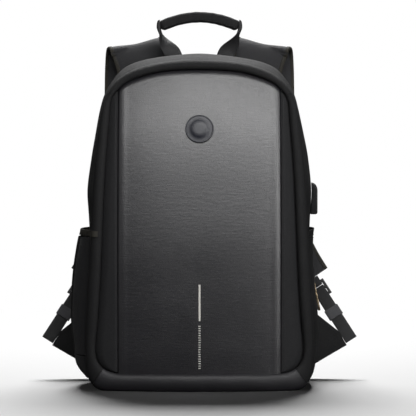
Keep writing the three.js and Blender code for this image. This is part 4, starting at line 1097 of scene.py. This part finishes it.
def grid_area(grid):
    """Area of a grid of points in square metres."""
    a, b = np.diff(grid, axis=0)[:, :-1], np.diff(grid, axis=1)[:-1]
    return float(np.linalg.norm(np.cross(a, b), axis=-1).sum()) * MM * MM


def declare_cloth(piece, outer):
    """Works out the width of a pocket's cloth and its area over that width, and keeps neither."""
    width = float(lengths(outer, 1)[-1])
    grid_area(outer) / width


def make_bottle_pocket(sizes):
    """Left pocket: gathered mesh behind a plain strip, an elastic hem and a plain lower corner."""
    top = place_at_height(HEIGHT * POCKET_TOP)
    trim = place_at_height(HEIGHT * POCKET_TOP - POCKET_TRIM_HEIGHT)
    corner = place_at_height(HEIGHT * POCKET_CORNER_TOP)
    gather = sizes.gather / MM

    def gathers(depth, height, crown):
        fade = 0.35 + 0.65 * np.clip((height - 60) / 120, 0, 1)
        bent = depth + height * 0.12 + 4 * np.sin(height / 38) + 2.5 * np.sin(height / 17 + depth / 9)
        return 2.1 * fade * crown ** 0.5 * (0.5 + 0.5 * np.sin(2 * math.pi * bent / gather))

    def puckers(depth, height, crown):
        return 0.45 * crown ** 0.3 * (0.5 + 0.5 * np.sin(2 * math.pi * depth / (gather * 0.6)))

    def folds(depth, height, crown):
        return 0.8 * crown * (0.5 + 0.5 * waves(depth * 2, height, 70, 31))

    common = dict(sign=-1, swell=BOTTLE_SWELL, bulge=BOTTLE_BULGE)
    make_pocket_cloth("bottle_pocket_hem", "bottle_pocket_trim", places=(trim + 0.02, top),
                      depths=(POCKET_FRONT, POCKET_REAR), rows=14, columns=200, thickness=2.4,
                      material=MATERIALS["binding"], slot="binding", ripple=puckers, **common)
    places = np.linspace(trim + 0.02, top, 14)
    _, middle, across, out, half = roll_frame(places)
    turns = np.linspace(0.04, 0.97, 24) * math.pi
    gathered = 0.35 * (0.5 + 0.5 * np.sin(np.arange(24) * 1.9))

    def over_roll(lift):
        reach = (ROLL_FRONT * np.minimum(1, half / ROLL_FULL))[:, None] + lift
        grid = middle[:, None] + across[:, None] * (half[:, None] * np.cos(turns))[..., None]
        grid = grid + out[:, None] * (reach * np.sin(turns) ** 0.9)[..., None]
        return grid * (-1, 1, 1)

    over = wall("bottle_pocket_hem_end", over_roll(1.7 + gathered), over_roll(0.3),
                MATERIALS["binding"], sharp=70)
    plain, flat = make_pocket_cloth("bottle_pocket_strip", "bottle_pocket_front",
                                    places=(corner + 0.02, trim - 0.02),
                                    depths=(POCKET_FRONT, MESH_FRONT - GAP),
                                    rows=90, columns=24, thickness=1.5, material=MATERIALS["twill"],
                                    slot="body_cloth", ripple=folds, **common)
    declare_cloth(plain, flat)
    net, flat = make_pocket_cloth("bottle_pocket_net", "bottle_pocket_mesh",
                                  places=(corner + 0.02, trim - 0.02),
                                  depths=(MESH_FRONT, POCKET_REAR), rows=110, columns=130, thickness=1.5,
                                  material=MATERIALS["mesh"], slot="mesh", ripple=gathers, **common)
    declare_cloth(net, flat)
    low, flat = make_pocket_cloth("bottle_pocket_foot", "bottle_pocket_corner",
                                  places=(BASE_PLACE + 0.1, corner - 0.02),
                                  depths=(POCKET_FRONT, POCKET_REAR), rows=40, columns=70, thickness=1.5,
                                  material=MATERIALS["twill"], slot="body_cloth", ripple=folds, **common)
    declare_cloth(low, flat)

    def row(place, depths, extra):
        place = 2 * TOP_PLACE - np.broadcast_to(place, depths.shape)
        lift, crown = pocket_lift(place, depths, BOTTLE_SWELL, BOTTLE_BULGE)
        body_seam(place, depths, lift + extra + 0.1 * crown)

    across = np.linspace(POCKET_FRONT + 1, POCKET_REAR - 1, 60)
    row(trim + 0.05, across, 2.75)
    row(top - 0.04, across, 2.75)
    row(corner - 0.06, across, 1.95)
    upright = np.linspace(corner + 0.1, trim - 0.1, 90)
    row(upright, np.full(90, MESH_FRONT - 2.0), 1.95)


def make_side_pocket():
    """Right pocket of plain cloth with a turned and stitched mouth."""
    top = place_at_height(HEIGHT * POCKET_TOP)

    def folds(depth, height, crown):
        mouth = 1.0 * np.exp(-((HEIGHT * POCKET_TOP - height) / 4.5) ** 4)
        hem = -0.5 * np.exp(-((HEIGHT * POCKET_TOP - height - 11) / 1.4) ** 2)
        return crown * (0.9 * (0.5 + 0.5 * waves(depth * 2, height * 0.8, 75, 33)) + hem) * 0.9 + mouth * 0.5

    piece, flat = make_pocket_cloth("side_pocket_cloth", "side_pocket", 1, SIDE_SWELL, SIDE_BULGE,
                                    (BASE_PLACE + 0.1, top), (POCKET_FRONT, POCKET_REAR), 130, 90, 1.5,
                                    MATERIALS["cloth"], "body_cloth", folds)
    declare_cloth(piece, flat)
    across = np.linspace(POCKET_FRONT + 1, POCKET_REAR - 1, 60)
    for height in (HEIGHT * POCKET_TOP - 9, HEIGHT * POCKET_TOP - 12.5):
        place = np.full(60, place_at_height(height))
        lift, crown = pocket_lift(place, across, SIDE_SWELL, SIDE_BULGE)
        body_seam(place, across, lift + 1.6 + 0.35 * crown)


# Handle and straps

def spline(points):
    """An open curve through points with even tension: share of the way to place, and direction."""
    points = np.asarray(points, float)
    padded = np.vstack([2 * points[0] - points[1], points, 2 * points[-1] - points[-2]])
    last = len(points) - 1

    def at(share):
        index = np.minimum((share * last).astype(int), last - 1)
        t = (share * last - index)[:, None]
        p0, p1, p2, p3 = (padded[index + k] for k in range(4))
        d0, d1, d2 = (np.maximum(np.linalg.norm(b - a, axis=1), 1e-8)[:, None] ** 0.5
                      for a, b in ((p0, p1), (p1, p2), (p2, p3)))
        start = ((p1 - p0) / d0 - (p2 - p0) / (d0 + d1) + (p2 - p1) / d1) * d1
        end = ((p2 - p1) / d1 - (p3 - p1) / (d1 + d2) + (p3 - p2) / d2) * d1
        bend = 3 * (p2 - p1) - 2 * start - end
        twist = 2 * (p1 - p2) + start + end
        return p1 + start * t + bend * t ** 2 + twist * t ** 3

    def direction(share):
        step = 1e-4
        ahead, behind = np.minimum(share + step, 1), np.maximum(share - step, 0)
        way = at(ahead) - at(behind)
        return way / np.linalg.norm(way, axis=1)[:, None]
    return at, direction


def path_frames(points, count, start_across, turns=None):
    """Centres, width and outward directions along a curve, with an optional turn at each point."""
    at, direction = spline(points)
    share = np.linspace(0, 1, count)
    tangent = direction(share)
    across = start_across - tangent * (tangent @ start_across)[:, None]
    across /= np.linalg.norm(across, axis=1)[:, None]
    if turns is not None:
        angle = np.radians(np.interp(share * (len(turns) - 1), np.arange(len(turns)), turns))[:, None]
        across = across * np.cos(angle) + np.cross(tangent, across) * np.sin(angle)
    return share, at(share), across, np.cross(tangent, across)


def section(sides, squareness):
    """A rounded flat outline from -1 to 1 both ways."""
    turn = np.linspace(0, 2 * math.pi, sides, endpoint=False)
    a, b = np.cos(turn), np.sin(turn)
    return np.sign(a) * np.abs(a) ** squareness, np.sign(b) * np.abs(b) ** squareness


def make_handle():
    """Carrying handle: webbing that twists into a folded cloth grip."""
    foot = height_over(HANDLE_FOOT - HANDLE_FOOT_WIDTH / 2, HANDLE_DEPTH) + 2 * GAP
    rise = HANDLE_TOP - foot
    room = GRIP_DEPTH - 2 * GRIP_WALL - 2 * GAP
    middle = HANDLE_TOP - GRIP_HEIGHT / 2

    def grip_at(x):
        return middle - GRIP_RISE * (x / GRIP_HALF) ** 2

    half = [
        (HANDLE_FOOT, foot, HANDLE_FOOT_WIDTH, 0), (HANDLE_FOOT, foot + rise * 0.04, HANDLE_FOOT_WIDTH, 2),
        (HANDLE_FOOT + 3, foot + rise * 0.14, HANDLE_FOOT_WIDTH, 10),
        (HANDLE_FOOT + 12, foot + rise * 0.32, HANDLE_FOOT_WIDTH * 0.9, 40),
        (HANDLE_HALF - 3, foot + rise * 0.52, HANDLE_FOOT_WIDTH * 0.75, 80),
        (HANDLE_HALF, foot + rise * 0.68, room * 1.4, 90), (HANDLE_HALF - 1.5, foot + rise * 0.79, room, 90),
    ]
    half += [(GRIP_HALF * s, grip_at(GRIP_HALF * s), room, 90) for s in (1, 0.8, 0.5, 0.2)]
    rows = half + [(0, middle, room, 90)] + [(-x, z, w, 180 - t) for x, z, w, t in half[::-1]]
    table = np.array(rows)
    points = np.stack([table[:, 0], np.full(len(table), HANDLE_DEPTH), table[:, 1]], -1)
    share, centre, across, out = path_frames(points, 260, np.array((1.0, 0, 0)), table[:, 3])
    width = np.interp(share * (len(table) - 1), np.arange(len(table)), table[:, 2])
    a, b = section(20, 0.5)
    nearest = np.minimum(share, 1 - share)
    folded = np.interp(nearest, (0.17, 0.22, 0.27, 0.32), (0, 1, 1, 0))
    thick = WEBBING_WALL / 2 + HANDLE_FOLD * folded
    rings = (centre[:, None] + across[:, None] * (width[:, None] / 2 * a)[..., None]
             + out[:, None] * (thick[:, None] * b)[..., None])
    strap = tube("handle_webbing", rings, MATERIALS["webbing"], sharp=80)
    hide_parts("handle_strap")
    for inset in (0.36, -0.36):
        leg = share < 0.2
        for flip in (1, -1):
            path = centre[leg] + across[leg] * (width[leg] * inset)[:, None] + out[leg] * (1.1 * flip)
            mirrored = path * (-1, 1, 1)
            seam(path, out[leg] * flip)
            seam(mirrored, out[leg] * (-flip, flip, flip))

    grip_end = GRIP_HALF + GRIP_REACH
    xs = np.linspace(-grip_end, grip_end, 110)
    slope = np.arctan(2 * GRIP_RISE * xs / GRIP_HALF ** 2)
    a, b = section(44, 0.62)
    tucked = 1 - GRIP_TUCK * np.clip((np.abs(xs) - grip_end) / GRIP_TUCK_RUN + 1, 0, 1) ** 2
    folds = (1 + 0.035 * waves(xs, xs * 0, 16, 41)) * tucked

    def rows_of(inset):
        depth = a[:, None] * (GRIP_DEPTH / 2 - inset) * folds
        height = b[:, None] * (GRIP_HEIGHT / 2 - inset) * folds
        x = xs + height * np.sin(slope)
        z = grip_at(xs) + height * np.cos(slope)
        return np.stack([x, HANDLE_DEPTH + depth, z], -1)

    grip = wall("handle_grip_wrap", rows_of(0), rows_of(GRIP_WALL), MATERIALS["cloth"], joined=True, sharp=60)
    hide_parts("handle_grip")
    for sign in (-1, 1):
        depth = np.full(len(xs), HANDLE_DEPTH + sign * (GRIP_DEPTH / 2 + 0.15))
        path = np.stack([xs, depth, grip_at(xs) - 4.2], -1)
        seam(path, (0, sign, 0))
        for end in (-1, 1):
            x = end * (GRIP_HALF - 3)
            z = np.linspace(grip_at(x) - 4.2, grip_at(x) + 4.2, 12)
            seam(np.stack([np.full(12, x), np.full(12, HANDLE_DEPTH + sign * (GRIP_DEPTH / 2 + 0.1)), z], -1),
                 (0, sign, 0))


def make_shoulder_strap(sign, word):
    """Padded strap with a crowned cloth face, the same twill underneath, and binding tape sewn over its
    edges.
    """
    table = np.array(STRAP_ROWS, float)
    points = table[:, :3] + (0, BACK_DEPTH, 0)
    tilt = math.radians(STRAP_TILT)
    share, centre, across, out = path_frames(points, 300, np.array((math.cos(tilt), 0, -math.sin(tilt))))
    place = share * (len(table) - 1)
    width = np.interp(place, np.arange(len(table)), table[:, 3]) * STRAP_WIDTH
    thick = np.interp(place, np.arange(len(table)), table[:, 4]) * STRAP_PAD
    turn = np.linspace(0, 2 * math.pi, 56, endpoint=False)
    a = np.sign(np.cos(turn)) * np.abs(np.cos(turn)) ** 0.55
    b = np.sign(np.sin(turn)) * np.abs(np.sin(turn)) ** 0.62
    along = np.concatenate([[0], np.cumsum(np.linalg.norm(np.diff(centre, axis=0), axis=1))])
    puff = 1 + 0.045 * waves(along[:, None], a[None] * 40, 60, 51)
    rings = (centre[:, None] + across[:, None] * ((width[:, None] / 2 - 1.2) * a)[..., None]
             + out[:, None] * (thick[:, None] / 2 * b * (0.8 + 0.2 * (1 - a ** 2)) * puff)[..., None])
    flip = (sign, 1, 1)
    pad = tube(f"strap_pad_{word}", rings * flip, MATERIALS["strap_twill"], sharp=80)
    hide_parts(f"shoulder_strap_{word}")
    ca, cb = section(16, 0.7)
    for side in (-1, 1):
        reach = np.minimum(thick * 0.42, 3.6)
        middle = centre + across * (side * (width / 2 - 2.6))[:, None]
        ring = (middle[:, None] + across[:, None] * (ca * 3.1)[None, :, None]
                + out[:, None] * (reach[:, None] * 1.02 * cb)[..., None])
        edge = "inner" if side < 0 else "outer"
        tape = tube(f"strap_binding_{edge}_{word}", ring * flip, MATERIALS["binding"], sharp=80)
        for face in (1, -1):
            path = middle + across * (-side * 1.4) + out * (face * (reach * 1.02 + 0.05))[:, None]
            seam(path[::2] * flip, (out * face * flip)[::2])


def line_frame():
    """The line from the strap's end to the wing's tip: its start and its three directions."""
    start = np.array(STRAP_ROWS[-1][:3], float) + (0, BACK_DEPTH, 0)
    down = np.array((0.53, -0.22, -0.82))
    down /= np.linalg.norm(down)
    across = np.array((0.82, 0, 0.53))
    across = across - down * (across @ down)
    across /= np.linalg.norm(across)
    return start, down, across, np.cross(down, across)


LINE_START, LINE_DOWN, LINE_ACROSS, LINE_OUT = line_frame()
LOCK_MIDDLE = LOCK_START + LOCK_LENGTH / 2
WEBBING_LIFT = LOCK_WALL / 2 + GAP + WEBBING_WALL / 2


def on_line(along, across, out):
    along, across, out = np.broadcast_arrays(along, across, out)
    return (LINE_START + along[..., None] * LINE_DOWN + across[..., None] * LINE_ACROSS
            + out[..., None] * LINE_OUT)


def make_ribbon(name, node_name, rows, count, sign):
    """Webbing through a table of places along the strap line and out of it, with rounded edges."""
    points = np.array([(along, out, 0) for along, out in rows], float)
    at, direction = spline(points)
    share = np.linspace(0, 1, count)
    centre, way = at(share), direction(share)
    a, b = section(24, 0.5)
    wide = a * WEBBING_WIDTH / 2
    high = b * WEBBING_WALL / 2
    rings = on_line(centre[:, :1] - way[:, 1:2] * high, np.repeat(wide[None], count, 0),
                    centre[:, 1:2] + way[:, :1] * high)
    piece = tube(name, rings * (sign, 1, 1), MATERIALS["webbing"], sharp=80)
    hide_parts(node_name)
    return piece


def make_strap_hardware(sign, word):
    """Ladder lock, its loop, the adjusting webbing with its free tail, and the keeper."""
    slot_turn = LOCK_MIDDLE - LOCK_BAR / 2 - WEBBING_TURN
    below, lift = LOCK_START + LOCK_LENGTH + LOCK_BAR, WEBBING_LIFT
    upper = [(below, lift), (LOCK_MIDDLE + LOCK_BAR / 2, lift), (LOCK_MIDDLE - LOCK_BAR / 4, lift),
             (slot_turn + 0.4, lift * 0.72)]
    lower = [(along, -out) for along, out in upper[::-1]]
    tail = [(TAIL_RUN, lift - WEBBING_DROP), (TAIL_RUN - WEBBING_WIDTH, lift - WEBBING_DROP / 2)]
    rows = (tail + upper + [(slot_turn, 0)] + lower
            + [(WEBBING_RUN - WEBBING_WIDTH, WEBBING_DROP / 2 - lift), (WEBBING_RUN, WEBBING_DROP - lift)])
    make_ribbon(f"adjusting_webbing_{word}", f"strap_webbing_{word}", rows, 220, sign)
    bar = LOCK_START + LOCK_BAR / 2
    turn_at = bar + LOCK_BAR / 2 + 2 * GAP + WEBBING_WALL / 2
    upper = [(LOOP_START, lift), (bar, lift), (turn_at, lift * 0.72)]
    rows = upper + [(turn_at + 0.5, 0)] + [(along, -out) for along, out in upper[::-1]]
    make_ribbon(f"lock_sling_{word}", f"lock_loop_{word}", rows, 90, sign)
    moulded_copy(f"strap_lock_{word}", f"ladder_lock_{word}", 0.42, MATERIALS["acetal"], 5)
    reach = WEBBING_LIFT + WEBBING_WALL / 2 + GAP
    half = WEBBING_WIDTH / 2 + GAP
    a, b = section(48, 0.35)
    runs = KEEPER_START + np.linspace(0, KEEPER_LENGTH, 16)

    def band(extra):
        return on_line(runs[None], (a * (half + extra))[:, None], (b * (reach + extra))[:, None])

    band_piece = wall(f"elastic_keeper_{word}", band(KEEPER_WALL) * (sign, 1, 1), band(0) * (sign, 1, 1),
                      MATERIALS["elastic"], joined=True, sharp=60)
    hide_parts(f"webbing_keeper_{word}")
    tail_end = on_line(TAIL_RUN - 4, np.linspace(-8, 8, 12), lift - 1.2 + WEBBING_WALL / 2 + 0.25)
    seam(tail_end * (sign, 1, 1), LINE_OUT * (sign, 1, 1))


def make_wing(sign, word):
    """Padded triangular wing from the body's lower rear edge to the webbing, with stitched edges."""
    tip = on_line(WEBBING_RUN, 0.0, 0.0)
    tip_low, tip_high = tip + (-1, -7, -16), tip + (-13, -7, 4)
    rows, columns = 50, 40
    share_up = np.linspace(0, 1, rows)
    heights = HEIGHT * (0.02 + 0.215 * share_up ** 1.7)
    roots = np.stack([body_skin(place_at_height(h), float(WING_DEPTH), float(WING_SEAM)) for h in heights])
    tips = tip_low + (tip_high - tip_low) * (share_up ** 1.7)[:, None]
    share = np.linspace(0, 1, columns)[None, :, None]
    flat = roots[:, None] * (1 - share) + tips[:, None] * share
    crown = (np.sin(math.pi * share_up) ** 0.5)[:, None] * np.sin(math.pi * share[..., 0]) ** 0.4
    bow = 2.5 * np.sin(math.pi * share[..., 0])
    front, rear = flat.copy(), flat.copy()
    dents = 0.25 * waves(flat[..., 0], flat[..., 2], 30, 61)
    front[..., 1] += bow - 0.3 * crown + 0.9 * (1 - crown) + dents * crown
    rear[..., 1] += WING_WALL + bow + 0.8 * crown - 0.9 * (1 - crown) + dents * crown
    flip = (sign, 1, 1)
    piece = wall(f"wing_cloth_{word}", rear * flip, front * flip, MATERIALS["cloth"], sharp=70)
    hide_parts(f"strap_wing_{word}")
    for grid, way in ((front, -1), (rear, 1)):
        for line in (grid[4, 2:-2], grid[-5, 2:-2]):
            seam((line + (0, way * 0.15, 0)) * flip, (0, way, 0))


def make_zip_hardware(word):
    """Slider and hinged pull of plated zinc, the pull with a raised rivet."""
    moulded_copy(f"{word}_slider", f"{word}_slider_body", 0.3, MATERIALS["metal"], 3)
    moulded_copy(f"{word}_pull", f"{word}_pull_bar", 0.3, MATERIALS["metal"], 3, body=f"{word}_pull")


def make_thread(sizes):
    """All the rows of stitches, as one piece of thread."""
    thread = repeated("stitching", SEAMS, "bead", MATERIALS["thread"], sizes.stitch_pitch,
                      sizes.stitch_length, sizes.thread, sizes.thread)


# Stage

CAMERA_DISTANCE = 2.7
CAMERA_HEIGHT = 0.36
CAMERA_AIM = (0.0117, 0.0, 0.2438)
PHOTO_WIDTH = 0.572
SENSOR = 36.0


def area_light(name, place, aim, width, height, power, tint="#ffffff"):
    data = bpy.data.lights.new(name, "AREA")
    data.shape = "RECTANGLE"
    data.size, data.size_y = width, height
    data.energy = power
    data.color = linear(tint)
    light = bpy.data.objects.new(name, data)
    bpy.context.scene.collection.objects.link(light)
    light.location = place
    light.rotation_euler = (Vector(aim) - Vector(place)).to_track_quat("-Z", "Y").to_euler()
    return light


def make_camera():
    data = bpy.data.cameras.new("photo camera")
    data.sensor_width = SENSOR
    place = Vector((0, -CAMERA_DISTANCE, CAMERA_HEIGHT))
    aim = Vector(CAMERA_AIM)
    data.lens = SENSOR * (aim - place).length / PHOTO_WIDTH
    data.clip_end = 50
    camera = bpy.data.objects.new("photo camera", data)
    camera.location = place
    camera.rotation_euler = (aim - place).to_track_quat("-Z", "Y").to_euler()
    bpy.context.scene.collection.objects.link(camera)
    bpy.context.scene.camera = camera


def make_floor(tint):
    """Pale matte floor that runs out to the white surround."""
    half = 9.0
    mesh = bpy.data.meshes.new("studio_floor")
    corners = [(-half, -half, 0), (half, -half, 0), (half, half, 0), (-half, half, 0)]
    mesh.from_pydata(corners, [], [(0, 1, 2, 3)])
    floor = bpy.data.objects.new("studio_floor", mesh)
    bpy.context.scene.collection.objects.link(floor)
    made, tree, shader = start_material("painted studio floor", tint, 0.85, specular_ior_level=0.1)
    mottle = node(tree, "ShaderNodeTexNoise", {"Vector": bag_point(tree), "Scale": 3.0, "Detail": 2.0})
    shade_range(tree, shader, tint, mottle.outputs["Fac"], 0.995, 1.0)
    away = node(tree, "ShaderNodeVectorMath", {0: bag_point(tree)}, operation="LENGTH").outputs["Value"]
    fade = node(tree, "ShaderNodeMapRange", {"Value": away, "From Min": 0.3, "From Max": 1.1},
                interpolation_type="SMOOTHSTEP")
    white = node(tree, "ShaderNodeEmission", {"Color": (1, 1, 1, 1), "Strength": 1.0})
    sweep = node(tree, "ShaderNodeMixShader", {
        0: fade.outputs["Result"], 1: shader.outputs["BSDF"], 2: white.outputs["Emission"]})
    dim = node(tree, "ShaderNodeBsdfDiffuse", {"Color": (0.07, 0.07, 0.07, 1)})
    seen = node(tree, "ShaderNodeLightPath").outputs["Is Camera Ray"]
    mix = node(tree, "ShaderNodeMixShader", {0: seen, 1: dim.outputs["BSDF"], 2: sweep.outputs["Shader"]})
    tree.links.new(mix.outputs["Shader"], tree.nodes["Material Output"].inputs["Surface"])
    mesh.materials.append(made)


def make_surround():
    """White surround for the eye, and a soft grey one for light and reflections."""
    world = bpy.data.worlds.new("studio surround")
    bpy.context.scene.world = world
    world.use_nodes = True
    tree = world.node_tree
    tree.nodes.clear()
    seen = node(tree, "ShaderNodeBackground", {"Color": (1, 1, 1, 1), "Strength": 1.0})
    lit = node(tree, "ShaderNodeBackground", {"Color": (1, 1, 1, 1), "Strength": 0.02})
    path = node(tree, "ShaderNodeLightPath")
    mix = node(tree, "ShaderNodeMixShader", {
        0: path.outputs["Is Camera Ray"], 1: lit.outputs["Background"], 2: seen.outputs["Background"]})
    node(tree, "ShaderNodeOutputWorld", {"Surface": mix.outputs["Shader"]})


# Operators

class BackpackOperator:
    """Shared settings of the operators"""

    bl_options = {"REGISTER", "UNDO"}

    def execute(self, context):
        self.make(context.scene.backpack_sizes, context.scene.backpack_colours)
        return {"FINISHED"}


class BACKPACK_OT_stage(BackpackOperator, bpy.types.Operator):
    """Make the camera, the pale floor, the surround and the soft lights"""

    bl_idname = "backpack.stage"
    bl_label = "Studio stage"

    def make(self, sizes, colours):
        bpy.context.scene.view_settings.view_transform = "Standard"
        make_camera()
        make_floor(colours.floor)
        make_surround()
        area_light("front softbox", (0.3, -2.0, 1.95), (0, 0, 0.33), 2.3, 0.9, 50)
        area_light("low softbox", (0.3, -2.3, 1.2), (0, 0, 0.3), 2.2, 0.5, 12)
        area_light("top softbox", (0.0, 0.95, 2.1), (0, 0, 0.2), 1.2, 0.7, 80)
        area_light("left strip", (-1.7, -1.3, 0.75), (0, 0, 0.25), 0.35, 1.3, 2)
        area_light("right strip", (1.6, -1.6, 0.7), (0, 0, 0.25), 0.45, 1.3, 20)


class BACKPACK_OT_materials(BackpackOperator, bpy.types.Operator):
    """Make the cloth, webbing, rubber, plastic and metal materials"""

    bl_idname = "backpack.materials"
    bl_label = "Materials"

    def make(self, sizes, colours):
        make_materials(sizes, colours)


class BACKPACK_OT_front(BackpackOperator, bpy.types.Operator):
    """Make the front panel, its side strips, the badge and the reflective markings"""

    bl_idname = "backpack.front"
    bl_label = "Front"

    def make(self, sizes, colours):
        make_front_panel()
        make_side_strip(-1, "left")
        make_side_strip(1, "right")
        make_badge()
        make_markings(sizes)


class BACKPACK_OT_rolls(BackpackOperator, bpy.types.Operator):
    """Make the padded rolls round the front"""

    bl_idname = "backpack.rolls"
    bl_label = "Edge rolls"

    def make(self, sizes, colours):
        top = 2 * TOP_PLACE
        make_roll("top_edge_roll", "top_roll", (ROLL_MEET_PLACE + ROLL_END, top - ROLL_MEET_PLACE - ROLL_END),
                  ROLL_FRONT * 0.9, ROLL_REAR * 0.7, MATERIALS["cloth"], 71)
        make_roll("bottom_edge_roll", "bottom_roll", (-MITRE_PLACE, MITRE_PLACE), BASE_ROLL_FRONT, ROLL_REAR,
                  MATERIALS["hem_leather"], 72)
        make_roll("side_edge_roll_right", "side_roll_right",
                  (MITRE_PLACE + ROLL_END, ROLL_MEET_PLACE - ROLL_END),
                  ROLL_FRONT, ROLL_REAR, MATERIALS["cloth"], 73)
        make_roll("side_edge_roll_left", "side_roll_left",
                  (top - ROLL_MEET_PLACE + ROLL_END, top - MITRE_PLACE - ROLL_END), ROLL_FRONT, ROLL_REAR,
                  MATERIALS["cloth"], 74)


class BACKPACK_OT_body(BackpackOperator, bpy.types.Operator):
    """Make the base, the side walls and the padded back"""

    bl_idname = "backpack.body"
    bl_label = "Body"

    def make(self, sizes, colours):
        make_body()
        make_back()


class BACKPACK_OT_zips(BackpackOperator, bpy.types.Operator):
    """Make the two zips with their sliders and hinged pulls"""

    bl_idname = "backpack.zips"
    bl_label = "Zips"

    def make(self, sizes, colours):
        make_zip("main", MAIN_ZIP_DEPTH, sizes)
        make_zip("laptop", LAPTOP_ZIP_DEPTH, sizes)
        make_zip_hardware("main")
        make_zip_hardware("laptop")


class BACKPACK_OT_pockets(BackpackOperator, bpy.types.Operator):
    """Make the mesh bottle pocket, the plain side pocket and the charging port"""

    bl_idname = "backpack.pockets"
    bl_label = "Pockets and port"

    def make(self, sizes, colours):
        make_bottle_pocket(sizes)
        make_side_pocket()
        moulded_copy("charging_port", "port_housing", 0.4, MATERIALS["rubber"], 6)


class BACKPACK_OT_handle(BackpackOperator, bpy.types.Operator):
    """Make the carrying handle"""

    bl_idname = "backpack.handle"
    bl_label = "Handle"

    def make(self, sizes, colours):
        make_handle()


class BACKPACK_OT_straps(BackpackOperator, bpy.types.Operator):
    """Make both shoulder straps with their locks, webbing, keepers and wings"""

    bl_idname = "backpack.straps"
    bl_label = "Shoulder straps"

    def make(self, sizes, colours):
        for sign, word in ((-1, "left"), (1, "right")):
            make_shoulder_strap(sign, word)
            make_strap_hardware(sign, word)
            make_wing(sign, word)


class BACKPACK_OT_aim(BackpackOperator, bpy.types.Operator):
    """Keep the front softboxes on the bag alone, so that its shadow falls towards the camera"""

    bl_idname = "backpack.aim"
    bl_label = "Light linking"

    def make(self, sizes, colours):
        lit = bpy.data.collections.new("front light on the bag")
        for piece in bpy.context.scene.objects:
            if piece.type == "MESH" and piece.name != "studio_floor":
                lit.objects.link(piece)
        for name in ("front softbox", "low softbox", "right strip"):
            bpy.data.objects[name].light_linking.receiver_collection = lit


class BACKPACK_OT_thread(BackpackOperator, bpy.types.Operator):
    """Sew every kept row of stitches"""

    bl_idname = "backpack.thread"
    bl_label = "Stitching"

    def make(self, sizes, colours):
        make_thread(sizes)


STEPS = (
    BACKPACK_OT_stage, BACKPACK_OT_materials, BACKPACK_OT_front, BACKPACK_OT_rolls, BACKPACK_OT_body,
    BACKPACK_OT_zips, BACKPACK_OT_pockets, BACKPACK_OT_handle, BACKPACK_OT_straps, BACKPACK_OT_thread,
    BACKPACK_OT_aim,
)


class BACKPACK_PT_panel(bpy.types.Panel):
    """Sizes, colours and steps of the backpack"""

    bl_idname = "BACKPACK_PT_panel"
    bl_label = "Backpack"
    bl_space_type = "VIEW_3D"
    bl_region_type = "UI"
    bl_category = "Backpack"

    def draw(self, context):
        layout = self.layout
        for step in STEPS:
            layout.operator(step.bl_idname)
        groups = (("Sizes", context.scene.backpack_sizes), ("Colours", context.scene.backpack_colours))
        for title, group in groups:
            layout.label(text=title)
            for name in group.__annotations__:
                layout.prop(group, name)


CLASSES = (BackpackSizes, BackpackColours, *STEPS, BACKPACK_PT_panel)


def register():
    for item in CLASSES:
        bpy.utils.register_class(item)
    bpy.types.Scene.backpack_sizes = PointerProperty(type=BackpackSizes)
    bpy.types.Scene.backpack_colours = PointerProperty(type=BackpackColours)


def unregister():
    del bpy.types.Scene.backpack_colours
    del bpy.types.Scene.backpack_sizes
    for item in reversed(CLASSES):
        bpy.utils.unregister_class(item)


def main():
    register()
    for step in STEPS:
        group, name = step.bl_idname.split(".")
        getattr(getattr(bpy.ops, group), name)()


if __name__ == "__main__":
    main()
